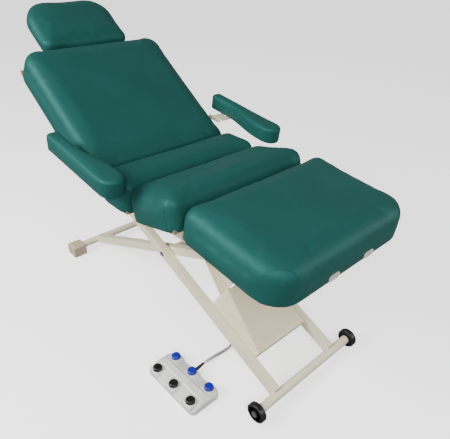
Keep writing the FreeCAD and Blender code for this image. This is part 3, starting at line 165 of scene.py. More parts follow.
def lathe(name, profile, place, steps=40):
    """A turned piece about a placement's Z from (radius, height) pairs."""
    rings = []
    for radius, height in profile:
        ring = []
        for step in range(steps):
            angle = 2 * math.pi * step / steps
            ring.append(place @ Vector((radius * math.cos(angle), radius * math.sin(angle), height)))
        rings.append(ring)
    return loft(name, rings)


def apply_modifiers(item):
    """Replace a mesh by its evaluated shape."""
    graph = bpy.context.evaluated_depsgraph_get()
    made = bpy.data.meshes.new_from_object(item.evaluated_get(graph))
    item.modifiers.clear()
    old = item.data
    item.data = made
    bpy.data.meshes.remove(old)


def arc(centre_x, centre_y, radius, start, turn, steps=10):
    """Points of a plan arc."""
    points = []
    for step in range(steps + 1):
        angle = math.radians(start + turn * step / steps)
        points.append((centre_x + radius * math.cos(angle), centre_y + radius * math.sin(angle)))
    return points


def round_plan(low, high, tail_radius, nose_radius, inset):
    """Rounded rectangle in plan, inset all round; tail is the -X end."""
    x0, x1 = low.x + inset, high.x - inset
    y0, y1 = low.y + inset, high.y - inset
    tail = max(tail_radius - inset, 4 * MM)
    nose = max(nose_radius - inset, 4 * MM)
    points = arc(x1 - nose, y1 - nose, nose, 0, 90)
    points += arc(x0 + tail, y1 - tail, tail, 90, 90)
    points += arc(x0 + tail, y0 + tail, tail, 180, 90)
    points += arc(x1 - nose, y0 + nose, nose, 270, 90)
    return points


def smooth_step(value):
    """Eased 0 to 1."""
    value = min(1.0, max(0.0, value))
    return value * value * (3 - 2 * value)


# ---------------------------------------------------------------- materials


def new_material(name):
    """An empty node material; returns it with its tree, shader and object coordinates."""
    made = bpy.data.materials.new(name)
    made.use_nodes = True
    tree = made.node_tree
    shader = tree.nodes["Principled BSDF"]
    place = tree.nodes.new("ShaderNodeTexCoord").outputs["Object"]
    return made, tree, shader, place


def noise(tree, place, scale, detail=3.0, rough=0.55):
    """A noise texture's value."""
    item = tree.nodes.new("ShaderNodeTexNoise")
    item.inputs["Scale"].default_value = scale
    item.inputs["Detail"].default_value = detail
    item.inputs["Roughness"].default_value = rough
    tree.links.new(place, item.inputs["Vector"])
    return item.outputs["Fac"]


def cells(tree, place, scale, feature="DISTANCE_TO_EDGE"):
    """A cell texture's distance."""
    item = tree.nodes.new("ShaderNodeTexVoronoi")
    item.feature = feature
    item.inputs["Scale"].default_value = scale
    tree.links.new(place, item.inputs["Vector"])
    return item.outputs["Distance"]


def spread(tree, value, low_in, high_in, low, high):
    """A value mapped from one range to another."""
    item = tree.nodes.new("ShaderNodeMapRange")
    item.inputs["From Min"].default_value = low_in
    item.inputs["From Max"].default_value = high_in
    item.inputs["To Min"].default_value = low
    item.inputs["To Max"].default_value = high
    tree.links.new(value, item.inputs["Value"])
    return item.outputs["Result"]


def mixed(tree, factor, first, second):
    """A colour between two, which may be colours or sockets."""
    item = tree.nodes.new("ShaderNodeMix")
    item.data_type = "RGBA"
    tree.links.new(factor, item.inputs["Factor"])
    for socket, colour in ((item.inputs[6], first), (item.inputs[7], second)):
        if isinstance(colour, tuple):
            socket.default_value = (*colour, 1.0)
        else:
            tree.links.new(colour, socket)
    return item.outputs[2]


def bump(tree, shader, height, distance, strength=1.0, under=None):
    """Bump from a height, on top of another bump if one is given."""
    item = tree.nodes.new("ShaderNodeBump")
    item.inputs["Distance"].default_value = distance
    item.inputs["Strength"].default_value = strength
    tree.links.new(height, item.inputs["Height"])
    if under is not None:
        tree.links.new(under, item.inputs["Normal"])
    tree.links.new(item.outputs["Normal"], shader.inputs["Normal"])
    return item.outputs["Normal"]


def scaled(colour, factor):
    """A colour made lighter or darker."""
    return tuple(min(1.0, part * factor) for part in colour)


def edges(tree):
    """How far a point stands out on an edge, from 0 to 1."""
    point = tree.nodes.new("ShaderNodeNewGeometry").outputs["Pointiness"]
    return spread(tree, point, 0.51, 0.58, 0.0, 1.0)


def vinyl_material(name, colour):
    """Coated upholstery vinyl: fine pebble grain, satin sheen, soft creases."""
    made, tree, shader, place = new_material(name)
    tone = noise(tree, place, 5.0, 4.0)
    shade = mixed(tree, spread(tree, tone, 0.3, 0.7, 0.0, 1.0), scaled(colour, 0.9), scaled(colour, 1.1))
    pebble = cells(tree, place, 620.0)
    pits = spread(tree, pebble, 0.0, 0.14, 0.0, 1.0)
    tree.links.new(mixed(tree, pits, scaled(colour, 0.72), shade), shader.inputs["Base Color"])
    matt = noise(tree, place, 38.0, 2.0)
    tree.links.new(spread(tree, matt, 0.2, 0.8, 0.38, 0.48), shader.inputs["Roughness"])
    shader.inputs["Sheen Weight"].default_value = 0.03
    shader.inputs["Sheen Roughness"].default_value = 0.45
    shader.inputs["Sheen Tint"].default_value = (0.35, 0.85, 0.75, 1.0)
    shader.inputs["Specular IOR Level"].default_value = 0.32
    shader.inputs["Specular Tint"].default_value = (0.30, 1.0, 0.90, 1.0)
    grain = bump(tree, shader, pits, 0.00018, 0.55)
    bump(tree, shader, noise(tree, place, 22.0, 3.0), 0.0011, 0.35, grain)
    return made


def paint_material(name, colour, grain=520.0, depth=0.00012, roughness=0.42):
    """Baked powder coat with orange peel and lighter rubbed edges."""
    made, tree, shader, place = new_material(name)
    tone = noise(tree, place, 9.0, 5.0)
    shade = mixed(tree, spread(tree, tone, 0.3, 0.7, 0.0, 1.0), scaled(colour, 0.93), scaled(colour, 1.04))
    rubbed = mixed(tree, edges(tree), shade, scaled(colour, 1.12))
    tree.links.new(rubbed, shader.inputs["Base Color"])
    speck = noise(tree, place, 70.0, 3.0)
    low, high = roughness - 0.05, roughness + 0.1
    tree.links.new(spread(tree, speck, 0.25, 0.75, low, high), shader.inputs["Roughness"])
    bump(tree, shader, noise(tree, place, grain, 1.0), depth, 0.6)
    return made


def plastic_material(name, colour, roughness=0.5, grain=900.0, depth=0.00008, coat=0.0):
    """Moulded plastic with a spark-eroded grain."""
    made, tree, shader, place = new_material(name)
    tone = noise(tree, place, 14.0, 4.0)
    shade = mixed(tree, spread(tree, tone, 0.3, 0.7, 0.0, 1.0), scaled(colour, 0.9), scaled(colour, 1.06))
    tree.links.new(shade, shader.inputs["Base Color"])
    mark = noise(tree, place, 45.0, 4.0)
    rough = spread(tree, mark, 0.3, 0.75, roughness - 0.06, roughness + 0.1)
    tree.links.new(rough, shader.inputs["Roughness"])
    shader.inputs["Coat Weight"].default_value = coat
    shader.inputs["Coat Roughness"].default_value = 0.12
    bump(tree, shader, noise(tree, place, grain, 2.0), depth, 0.7)
    return made


def steel_material(name, colour, roughness=0.3):
    """Zinc-plated or ground steel with fine scratches."""
    made, tree, shader, place = new_material(name)
    shader.inputs["Metallic"].default_value = 1.0
    tone = noise(tree, place, 30.0, 5.0)
    shade = mixed(tree, spread(tree, tone, 0.3, 0.7, 0.0, 1.0), scaled(colour, 0.82), scaled(colour, 1.08))
    tree.links.new(shade, shader.inputs["Base Color"])
    scratch = noise(tree, place, 240.0, 6.0, 0.7)
    tree.links.new(spread(tree, scratch, 0.3, 0.7, roughness - 0.08, roughness + 0.12),
                   shader.inputs["Roughness"])
    bump(tree, shader, scratch, 0.00004, 0.5)
    return made


def wood_material(name, light, dark):
    """Birch plywood: long growth bands with fine pores."""
    made, tree, shader, place = new_material(name)
    stretch = tree.nodes.new("ShaderNodeMapping")
    stretch.inputs["Scale"].default_value = (1.0, 9.0, 9.0)
    tree.links.new(place, stretch.inputs["Vector"])
    along = stretch.outputs["Vector"]
    bands = noise(tree, along, 6.0, 6.0, 0.6)
    tree.links.new(mixed(tree, spread(tree, bands, 0.35, 0.65, 0.0, 1.0), light, dark),
                   shader.inputs["Base Color"])
    shader.inputs["Roughness"].default_value = 0.62
    bump(tree, shader, noise(tree, along, 120.0, 3.0), 0.00015, 0.6)
    return made


TEAL = (0.014, 0.087, 0.077)
IVORY = (0.82, 0.75, 0.55)
LOOKS = {
    "upholstery": vinyl_material("teal_vinyl", TEAL),
    "frame_paint": paint_material("ivory_powder_coat", IVORY),
    "cover": paint_material("beige_moulding", (0.80, 0.71, 0.48), 300.0, 0.0002, 0.5),
    "foot_plastic": plastic_material("tan_plastic", (0.60, 0.50, 0.35), 0.5),
    "board": wood_material("plywood", (0.42, 0.29, 0.16), (0.27, 0.17, 0.085)),
    "steel": steel_material("zinc_steel", (0.62, 0.63, 0.64)),
    "actuator_plastic": plastic_material("graphite_plastic", (0.035, 0.036, 0.04), 0.45),
    "wheel_rubber": plastic_material("black_rubber", (0.012, 0.012, 0.014), 0.36, 700.0, 0.0001),
    "socket_plastic": plastic_material("ivory_plastic", (0.80, 0.76, 0.64), 0.38, coat=0.2),
    "control_plastic": plastic_material("control_plastic", (0.84, 0.86, 0.83), 0.36, 1100.0, 0.0001, 0.3),
    "button_blue": plastic_material("blue_plastic", (0.004, 0.010, 0.34), 0.32, coat=0.15),
    "button_black": plastic_material("black_plastic", (0.004, 0.004, 0.005), 0.34, coat=0.12),
    "cord_black": plastic_material("cord_rubber", (0.022, 0.022, 0.024), 0.5),
}
THREAD = plastic_material("teal_thread", (0.004, 0.035, 0.032), 0.6, 1500.0, 0.0002)
CURL = plastic_material("grey_cord", (0.33, 0.33, 0.34), 0.35, coat=0.3)


def dress(item, slot_name, material=None):
    """Give a piece its material: the one given, or else the look of its record slot."""
    item.data.materials.clear()
    item.data.materials.append(material or LOOKS[slot_name])


ROUND_EDGE = {"frame_paint": 0.9, "cover": 2.2, "foot_plastic": 1.5, "socket_plastic": 0.8,
              "actuator_plastic": 1.2, "control_plastic": 1.0}

for node_name, node in NODES.items():
    kind = SLOT_OF[node_name]
    node.data.materials.clear()
    node.data.materials.append(LOOKS[kind])
    if kind in ROUND_EDGE:
        soft = node.modifiers.new("soft_edges", "BEVEL")
        soft.width = ROUND_EDGE[kind] * MM
        soft.segments = 2
        soft.limit_method = "ANGLE"
        soft.angle_limit = math.radians(35)
        soft.harden_normals = True


# ---------------------------------------------------------------- cushions

VOXEL = 7.0 * MM
SIM_FRAMES = 20
LEG_NOSE = 112 * MM


def swell(item, pinned, cap, limits, where):
    """Inflate a pad with the cloth solver, keep its base, and hold it inside its box."""
    before = [vertex.co.copy() for vertex in item.data.vertices]
    hold = item.vertex_groups.new(name="base")
    hold.add(pinned, 1.0, "REPLACE")
    cloth = item.modifiers.new("cloth", "CLOTH")
    cloth.settings.quality = 4
    cloth.settings.mass = 0.4
    cloth.settings.tension_stiffness = 20.0
    cloth.settings.compression_stiffness = 20.0
    cloth.settings.shear_stiffness = 8.0
    cloth.settings.bending_stiffness = 4.0
    cloth.settings.use_pressure = True
    cloth.settings.uniform_pressure_force = 4.0
    cloth.settings.vertex_group_mass = "base"
    cloth.settings.effector_weights.gravity = 0.0
    cloth.collision_settings.use_collision = False
    cloth.point_cache.frame_start = 1
    cloth.point_cache.frame_end = SIM_FRAMES
    scene = bpy.context.scene
    for number in range(1, SIM_FRAMES + 1):
        scene.frame_set(number)
    apply_modifiers(item)
    scene.frame_set(1)
    item.vertex_groups.clear()
    low, high = limits
    inverse = where.inverted()
    for vertex, start in zip(item.data.vertices, before):
        move = vertex.co - start
        far = move.length
        if far > 1e-9:
            move *= cap / (cap + far)
        local = inverse @ (start + move)
        local = Vector([min(max(local[i], low[i]), high[i]) for i in range(3)])
        vertex.co = where @ local


def remesh(item, size):
    """Even quads all over."""
    modifier = item.modifiers.new("even", "REMESH")
    modifier.mode = "VOXEL"
    modifier.voxel_size = size
    apply_modifiers(item)


def relax(item, turns=6):
    """Take out the steps that a voxel remesh leaves."""
    modifier = item.modifiers.new("relax", "SMOOTH")
    modifier.factor = 0.5
    modifier.iterations = turns
    apply_modifiers(item)


def finish_pad(item):
    """One subdivision and smooth shading."""
    modifier = item.modifiers.new("fine", "SUBSURF")
    modifier.levels = 1
    modifier.render_levels = 1
    apply_modifiers(item)
    item.data.polygons.foreach_set("use_smooth", [True] * len(item.data.polygons))


def edge_profile(height, top_round, hem, steps=9):
    """(inset, height) pairs up a pad's side: hem, straight side, rounded top."""
    pairs = []
    for step in range(steps):
        angle = math.pi / 2 * step / (steps - 1)
        pairs.append((hem * (1 - math.sin(angle)), hem * (1 - math.cos(angle))))
    for step in range(steps):
        angle = math.pi / 2 * step / (steps - 1)
        pairs.append((top_round * (1 - math.cos(angle)), height - top_round + top_round * math.sin(angle)))
    return pairs


def crowned(item, where, low, high, rise, slack):
    """Raise the middle of the top and draw the sides in between the corners."""
    inverse = where.inverted()
    middle = (low + high) / 2
    half = (high - low) / 2
    for vertex in item.data.vertices:
        local = inverse @ vertex.co
        u = (local.x - middle.x) / half.x
        v = (local.y - middle.y) / half.y
        w = (local.z - low.z) / (high.z - low.z)
        dome = max(0.0, 1 - abs(u) ** 3) * max(0.0, 1 - abs(v) ** 3)
        local.z += rise * dome * w ** 2
        local.y -= math.copysign(slack * abs(v) ** 6 * (1 - u * u) * w, v)
        local.x -= math.copysign(slack * 0.5 * abs(u) ** 6 * (1 - v * v) * w, u)
        vertex.co = where @ local


def cushion(node_name, body, where, tail, nose, top_round=46 * MM, rise=7 * MM,
            cap=12 * MM, shrink=2.0 * MM, slack=3.0 * MM):
    """An upholstered section in the place of its CAD solid."""
    low, high = local_box(node_name, where)
    start = low + Vector((shrink, shrink, 0.0))
    end = high - Vector((shrink, shrink, rise))
    height = end.z - start.z
    rings = []
    for inset, level in edge_profile(height, top_round, 12 * MM):
        plan = round_plan(start, end, tail, nose, inset)
        rings.append([where @ Vector((x, y, start.z + level)) for x, y in plan])
    item = loft(node_name.replace("_cushion", "") + "_pad", rings)
    remesh(item, VOXEL)
    relax(item)
    crowned(item, where, start, end, rise, slack)
    inverse = where.inverted()
    pinned = [v.index for v in item.data.vertices if (inverse @ v.co).z < start.z + 14 * MM]
    edge = Vector((0.4 * MM, -4 * MM, 0.0))
    limits = (low + edge, high - edge + Vector((0.0, 0.0, 5 * MM)))
    swell(item, pinned, cap, limits, where)
    relax(item, 5)
    finish_pad(item)
    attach(item, body)
    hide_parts(node_name)
    dress(item, "upholstery")
    return item


cushion("back_cushion", "back", BACK, 84 * MM, 52 * MM)
cushion("rear_seat_cushion", "carriage", SEAT, 52 * MM, 52 * MM, rise=5 * MM)
thigh_pad = cushion("thigh_cushion", "thigh", THIGH, 52 * MM, 56 * MM, rise=8 * MM)
leg_pad = cushion("leg_cushion", "leg", LEG, 54 * MM, LEG_NOSE, top_round=50 * MM, rise=8 * MM)
cushion("head_cushion", "head_rest", BACK, 128 * MM, 42 * MM, top_round=34 * MM, rise=8 * MM,
        cap=9 * MM)


ARM_CORNER = 16 * MM
ARM_NARROW = 60 * MM
ARM_STRETCH = 1.15
ARM_SHRINK = 1.0 * MM
ARM_CROWN = 2.5 * MM
ARM_TOP_ROUND = 15 * MM
ARM_HEM = 9 * MM
ARM_VOXEL = 4.5 * MM


def arm_plan(low, high, side, inset):
    """Paddle outline: straight outer edge, squared narrow rear, hollowed inner edge, round nose."""
    outer, inner = high.y - inset, low.y + inset
    rear, front = low.x + inset, high.x - inset
    nose = (outer - inner) / 2
    centre = (outer + inner) / 2
    corner = max(ARM_CORNER - inset, 3 * MM)
    narrow = outer - ARM_NARROW + 2 * inset
    start = front - ARM_STRETCH * nose
    points = arc(rear + corner, outer - corner, corner, 180, -90, 6)
    for step in range(1, 8):
        points.append((rear + corner + (start - rear - corner) * step / 8, outer))
    for step in range(25):
        angle = math.radians(90 - 180 * step / 24)
        points.append((start + ARM_STRETCH * nose * math.cos(angle), centre + nose * math.sin(angle)))
    reach = 0.55 * (front - rear)
    for step in range(1, 17):
        x = start + (rear + corner + 6 * MM - start) * step / 16
        ease = smooth_step((start - 0.12 * reach - x) / reach)
        points.append((x, inner + (narrow - inner) * ease))
    points += arc(rear + corner, narrow + corner, corner, 270, -90, 6)
    return [(x, side * y) for x, y in points]


def arm_rest(word, side):
    """One arm pad in the place of its CAD solid."""
    node_name = f"arm_cushion_{word}"
    low, high = local_box(node_name, ARM)
    if side < 0:
        low, high = Vector((low.x, -high.y, low.z)), Vector((high.x, -low.y, high.z))
    height = high.z - low.z - ARM_CROWN
    rings = []
    for inset, level in edge_profile(height, ARM_TOP_ROUND, ARM_HEM, 7):
        plan = arm_plan(low, high, side, inset + ARM_SHRINK)
        rings.append([ARM @ Vector((x, y, low.z + level)) for x, y in plan])
    item = loft(f"arm_pad_{word}", rings)
    remesh(item, ARM_VOXEL)
    relax(item, 5)
    inverse = ARM.inverted()
    middle = (low + high) / 2
    for vertex in item.data.vertices:
        local = inverse @ vertex.co
        across = (abs(local.y) - middle.y) / (high.y - middle.y)
        if local.z > middle.z:
            local.z += ARM_CROWN * max(0.0, 1 - across * across)
        vertex.co = ARM @ local
    pinned = [v.index for v in item.data.vertices if (inverse @ v.co).z < low.z + 8 * MM]
    inner, outer = (low.y, high.y) if side > 0 else (-high.y, -low.y)
    limits = (Vector((low.x, inner - 1 * MM, low.z)), Vector((high.x, outer + 1 * MM, high.z + 3 * MM)))
    swell(item, pinned, 4 * MM, limits, ARM)
    finish_pad(item)
    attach(item, f"arm_{word}")
    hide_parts(node_name)
    dress(item, "upholstery")


for arm_word, arm_side in (("left", 1), ("right", -1)):
    arm_rest(arm_word, arm_side)


# ---------------------------------------------------------------- seams


def surface_points(item, rays):
    """Where rays from outside first meet a piece."""
    graph = bpy.context.evaluated_depsgraph_get()
    tree = BVHTree.FromObject(item, graph)
    found = []
    for start, toward in rays:
        place, normal, _, _ = tree.ray_cast(start, toward.normalized())
        if place is not None:
            found.append(place + normal * 0.25 * MM)
    return found


STITCH = 5.0 * MM
STITCH_GAP = 1.4 * MM
STITCH_RADIUS = 0.8 * MM


def stitch_line(name, points, body):
    """A raised seam: short stitches laid along a line of points."""
    lengths = [0.0]
    for first, second in zip(points, points[1:]):
        lengths.append(lengths[-1] + (second - first).length)
    vertices, faces = [], []

    def at(distance):
        for index in range(1, len(points)):
            if lengths[index] >= distance:
                part = (distance - lengths[index - 1]) / max(lengths[index] - lengths[index - 1], 1e-9)
                return points[index - 1].lerp(points[index], part)
        return points[-1]

    position = 0.0
    while position + STITCH < lengths[-1]:
        first, second = at(position), at(position + STITCH)
        along = (second - first).normalized()
        side = along.orthogonal().normalized()
        other = along.cross(side)
        base = len(vertices)
        for share, scale in ((0.0, 0.35), (0.15, 0.9), (0.5, 1.1), (0.85, 0.9), (1.0, 0.35)):
            for step in range(6):
                angle = 2 * math.pi * step / 6
                ring = side * math.cos(angle) + other * math.sin(angle)
                vertices.append(first.lerp(second, share) + ring * STITCH_RADIUS * scale)
        for level in range(4):
            for step in range(6):
                following = (step + 1) % 6
                row = base + level * 6
                faces.append((row + step, row + following, row + 6 + following, row + 6 + step))
        faces.append(tuple(base + step for step in range(5, -1, -1)))
        faces.append(tuple(base + 24 + step for step in range(6)))
        position += STITCH + STITCH_GAP
    item = add_mesh(name, vertices, faces)
    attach(item, body)
    dress(item, "upholstery", THREAD)


def side_seams(item, node_name, body, where, offset, word):
    """Upright corner seams on both long sides of a section."""
    low, high = local_box(node_name, where)
    ray_reach = 0.4
    for name, side in (("left", 1), ("right", -1)):
        rays = []
        for step in range(60):
            angle = math.radians(-62 + 122 * step / 59)
            centre = Vector((offset, side * (high.y - 0.09), (low.z + high.z) / 2))
            reach = Vector((0.0, side * math.cos(angle), math.sin(angle)))
            rays.append((where @ (centre + reach * ray_reach), where.to_3x3() @ -reach))
        stitch_line(f"{word}_seam_{name}", surface_points(item, rays), body)


SEAM_TILT = math.radians(15)
SEAM_OUT = 90 * MM
SEAM_RISE = 12 * MM


def corner_seams(item, node_name, body, where, radius, word):
    """Curved seams that cut across the two foot end corners."""
    low, high = local_box(node_name, where)
    for name, side in (("left", 1), ("right", -1)):
        corner_way = Vector((math.cos(math.radians(45)), side * math.sin(math.radians(45)), 0.0))
        normal = corner_way * math.cos(SEAM_TILT) + Vector((0, 0, 1)) * math.sin(SEAM_TILT)
        along = Vector((-corner_way.y, corner_way.x, 0.0))
        rise = normal.cross(along) * side
        if rise.z < 0:
            rise = -rise
        corner = Vector((high.x - radius, side * (high.y - radius), (low.z + high.z) / 2))
        centre = corner + corner_way * SEAM_OUT + Vector((0, 0, SEAM_RISE))
        rays = []
        for step in range(90):
            angle = math.radians(18 + 144 * step / 89)
            reach = along * math.cos(angle) + rise * math.sin(angle)
            rays.append((where @ (centre + reach * 0.5), where.to_3x3() @ -reach))
        stitch_line(f"{word}_corner_seam_{name}", surface_points(item, rays), body)


thigh_low, thigh_high = local_box("thigh_cushion", THIGH)
side_seams(thigh_pad, "thigh_cushion", "thigh", THIGH, thigh_high.x - 0.045, "thigh")
corner_seams(leg_pad, "leg_cushion", "leg", LEG, LEG_NOSE, "leg")


# ---------------------------------------------------------------- cord

CORD_ROUTE = [
    (-343, -280, 14), (-347, -228, 8.5), (-341, -172, 8), (-337, -128, 14),
    (-341, -84, 48), (-345, -44, 88), (-345, -8, 112), (-345, 28, 112),
]
CURL_RADIUS = 5.4 * MM
WIRE_RADIUS = 2.0 * MM
CURL_PITCH = 5.2 * MM
STRETCHED_PITCH = 9.4 * MM
STRETCHED_FROM = 0.72
CURL_LEAD = 14 * MM
STEPS_PER_TURN = 14


def route_line():
    """The cord's smooth centreline from the control box to the foot control."""
    data = bpy.data.curves.new("route", "CURVE")
    data.dimensions = "3D"
    data.resolution_u = 24
    spline = data.splines.new("NURBS")
    spline.points.add(len(CORD_ROUTE) - 1)
    for point, place in zip(spline.points, reversed(CORD_ROUTE)):
        x, y, z = place
        point.co = (AXLE.x + x * MM, y * MM, z * MM, 1.0)
    spline.order_u = 3
    spline.use_endpoint_u = True
    item = bpy.data.objects.new("route", data)
    bpy.context.scene.collection.objects.link(item)
    graph = bpy.context.evaluated_depsgraph_get()
    made = bpy.data.meshes.new_from_object(item.evaluated_get(graph))
    points = [vertex.co.copy() for vertex in made.vertices]
    bpy.data.objects.remove(item)
    return points


def along_line(points, distance):
    """Point and direction at a distance along a line of points."""
    left = distance
    for first, second in zip(points, points[1:]):
        step = (second - first).length
        if left <= step:
            return first.lerp(second, left / step), (second - first) / step
        left -= step
    return points[-1], (points[-1] - points[-2]).normalized()


def curled_cord():
    """The curly cord: a helix round the route, straight where it enters its ends."""
    route = route_line()
    whole = sum((b - a).length for a, b in zip(route, route[1:]))
    path = []
    distance, turn = 0.0, 0.0
    while distance < whole:
        share = distance / whole
        stretched = max(0.0, share - STRETCHED_FROM) / (1.0 - STRETCHED_FROM)
        pitch = CURL_PITCH + (STRETCHED_PITCH - CURL_PITCH) * stretched
        centre, along = along_line(route, distance)
        side = along.cross(Vector((0, 0, 1))).normalized()
        above = side.cross(along)
        nearest_end = min(distance - 0.4 * CURL_LEAD, whole - distance)
        radius = CURL_RADIUS * smooth_step(nearest_end / CURL_LEAD)
        path.append(centre + (side * math.cos(turn) + above * math.sin(turn)) * radius)
        turn += 2 * math.pi / STEPS_PER_TURN
        distance += pitch / STEPS_PER_TURN
    path.append(route[-1])
    path[0] = route[0]
    rings = []
    for index, point in enumerate(path):
        ahead = path[min(index + 1, len(path) - 1)] - path[max(index - 1, 0)]
        along = ahead.normalized()
        side = along.cross(Vector((0.31, 0.17, 0.93))).normalized()
        above = side.cross(along)
        ring = []
        for step in range(8):
            angle = 2 * math.pi * step / 8
            ring.append(point + (side * math.cos(angle) + above * math.sin(angle)) * WIRE_RADIUS)
        rings.append(ring)
    item = loft("curled_cord", rings)
    length = sum((b - a).length for a, b in zip(path, path[1:]))
    return item, path, length


cord_piece, cord_path, cord_length = curled_cord()
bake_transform(cord_piece)
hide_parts("control_cord")
dress(cord_piece, "cord_black", CURL)


# ---------------------------------------------------------------- strain reliefs


def aim_along(start, toward):
    """A placement at a point whose Z runs towards another."""
    turn = (toward - start).to_track_quat("Z", "Y").to_matrix().to_4x4()
    return Matrix.Translation(start) @ turn


def ribbed(name, start, end, wide, narrow, ribs, body, node_name, slot_name):
    """A strain relief that tapers in rings from a wide root to a narrow lip."""
    length = (end - start).length
    profile = [(0.3 * MM, 0.0)]
    for number in range(ribs):
        share = number / ribs
        radius = wide + (narrow - wide) * share
        pitch = length / ribs
        base = share * length
        for part, scale in ((0.05, 0.93), (0.18, 1.0), (0.55, 1.0), (0.7, 0.93), (0.8, 0.8), (0.95, 0.8)):
            profile.append((radius * scale, base + pitch * part))
    profile.append((narrow * 0.9, length))
    profile.append((0.3 * MM, length))
    item = lathe(name, profile, aim_along(start, end), 28)
    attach(item, body)
    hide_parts(node_name)
    dress(item, slot_name)


def from_axle(point):
    """A point given in millimetres from under the foot axle."""
    x, y, z = point
    return Vector((AXLE.x + x * MM, y * MM, z * MM))


BOOT_ROOT = from_axle((-333.0, -335.9, 20.0))
ribbed("ribbed_boot", BOOT_ROOT, from_axle(CORD_ROUTE[0]), 8.5 * MM, 6.0 * MM, 7, "base",
       "cord_boot", SLOT_OF["cord_boot"])
GLAND_ROOT = from_axle(CORD_ROUTE[-1]) + ACROSS * 22 * MM
ribbed("ribbed_gland", GLAND_ROOT, from_axle(CORD_ROUTE[-1]), 11.3 * MM, 8.8 * MM, 4,
       "outer_legs", "control_gland", SLOT_OF["control_gland"])


# ---------------------------------------------------------------- foot control top


COLUMN_STEP = 110 * MM
PLATFORM_HALF = 25 * MM
HUMP_HALF = 14 * MM
FALL_FROM = 18 * MM
SHELF_DROP = 5 * MM
VALLEY_DROP = 7 * MM
VALLEY_FALL = 14 * MM


def pedal_height(x, y, half_y, full):
    """Height of the casing: a hump along the middle, platforms, sloping valleys."""
    nearest = min(abs(x - column * COLUMN_STEP) for column in (-1, 0, 1))
    platform = 1 - smooth_step((nearest - PLATFORM_HALF) / (4 * MM))
    hump = 1 - smooth_step((abs(y) - HUMP_HALF) / (6 * MM))
    fall = smooth_step((abs(y) - FALL_FROM) / (half_y - FALL_FROM))
    valley = full - VALLEY_DROP - VALLEY_FALL * fall
    level = valley + (full - SHELF_DROP - valley) * platform
    return level + (full - level) * hump * smooth_step((half_y * 2 - abs(x)) / (22 * MM))


WELL_DEEPER = 4.4 * MM


def pedal_top():
    """Sculpted top shell of the foot control with six wells for its buttons."""
    low, high = local_box("foot_control_top", SEAT)
    middle = (low + high) / 2
    half_x, half_y = (high.x - low.x) / 2, (high.y - low.y) / 2
    columns, rows = 120, 60
    corner, edge = 22 * MM, 7 * MM
    top, bottom = [], []
    for row in range(rows + 1):
        for column in range(columns + 1):
            u = -1 + 2 * column / columns
            v = -1 + 2 * row / rows
            x, y = u * half_x, v * half_y
            over_x, over_y = abs(x) - (half_x - corner), abs(y) - (half_y - corner)
            if over_x > 0 and over_y > 0:
                reach = math.hypot(over_x, over_y)
                longest = max(over_x, over_y)
                scale = longest / reach
                x = math.copysign(half_x - corner + over_x * scale, x)
                y = math.copysign(half_y - corner + over_y * scale, y)
                rim = corner - longest
            else:
                rim = min(half_x - abs(x), half_y - abs(y))
            level = pedal_height(x, y, half_y, high.z)
            share = min(1.0, rim / edge)
            drop = edge * (1 - math.sqrt(max(0.0, 1 - (1 - share) ** 2)))
            top.append(Vector((middle.x + x, middle.y + y, level - drop)))
            bottom.append(Vector((middle.x + x, middle.y + y, low.z)))
    wide = columns + 1
    count = len(top)
    faces = []
    for row in range(rows):
        for column in range(columns):
            a = row * wide + column
            faces.append((a, a + 1, a + 1 + wide, a + wide))
            faces.append((count + a, count + a + wide, count + a + 1 + wide, count + a + 1))
    ring = list(range(columns)) + [row * wide + columns for row in range(rows)]
    ring += [rows * wide + column for column in range(columns, 0, -1)]
    ring += [row * wide for row in range(rows, 0, -1)]
    for first, second in zip(ring, ring[1:] + ring[:1]):
        faces.append((first, second, count + second, count + first))
    item = add_mesh("pedal_top", top + bottom, faces)
    wells = []
    for name in BUTTONS:
        box_low, box_high = local_box(name, SEAT)
        centre = (box_low + box_high) / 2
        radius = (box_high.x - box_low.x) / 2 + 0.5 * MM
        place = Matrix.Translation((centre.x, centre.y, 0.0))
        wells.append(lathe(f"well_{name}", [(radius, box_low.z - WELL_DEEPER), (radius, 80 * MM)], place, 48))
    for number, well in enumerate(wells):
        cutter = item.modifiers.new(f"well_{number}", "BOOLEAN")
        cutter.operation = "DIFFERENCE"
        cutter.solver = "EXACT"
        cutter.object = well
    apply_modifiers(item)
    for well in wells:
        bpy.data.objects.remove(well)
    item.data.polygons.foreach_set("use_smooth", [True] * len(item.data.polygons))
    split = item.modifiers.new("sharp_wells", "EDGE_SPLIT")
    split.split_angle = math.radians(50)
    apply_modifiers(item)
    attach(item, "base")
    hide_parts("foot_control_top")
    dress(item, SLOT_OF["foot_control_top"])


BUTTONS = [name for name in NODES if name.endswith("_button")]
pedal_top()


# ---------------------------------------------------------------- fasteners and wheel trim


def merged(name, parts, body, slot_name):
    """Several meshes joined into one piece that rides a body."""
    vertices, faces = [], []
    for part in parts:
        base = len(vertices)
        vertices += [vertex.co.copy() for vertex in part.data.vertices]
        faces += [tuple(base + index for index in face.vertices) for face in part.data.polygons]
        bpy.data.objects.remove(part)
    item = add_mesh(name, vertices, faces)
    split = item.modifiers.new("crisp", "EDGE_SPLIT")
    split.split_angle = math.radians(38)
    apply_modifiers(item)
    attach(item, body)
    dress(item, slot_name)


def outward(x, y, z, side):
    """A placement whose Z points away from the couch on one side."""
    place = Vector((x, side * y, z))
    return aim_along(place, place + ACROSS * side)


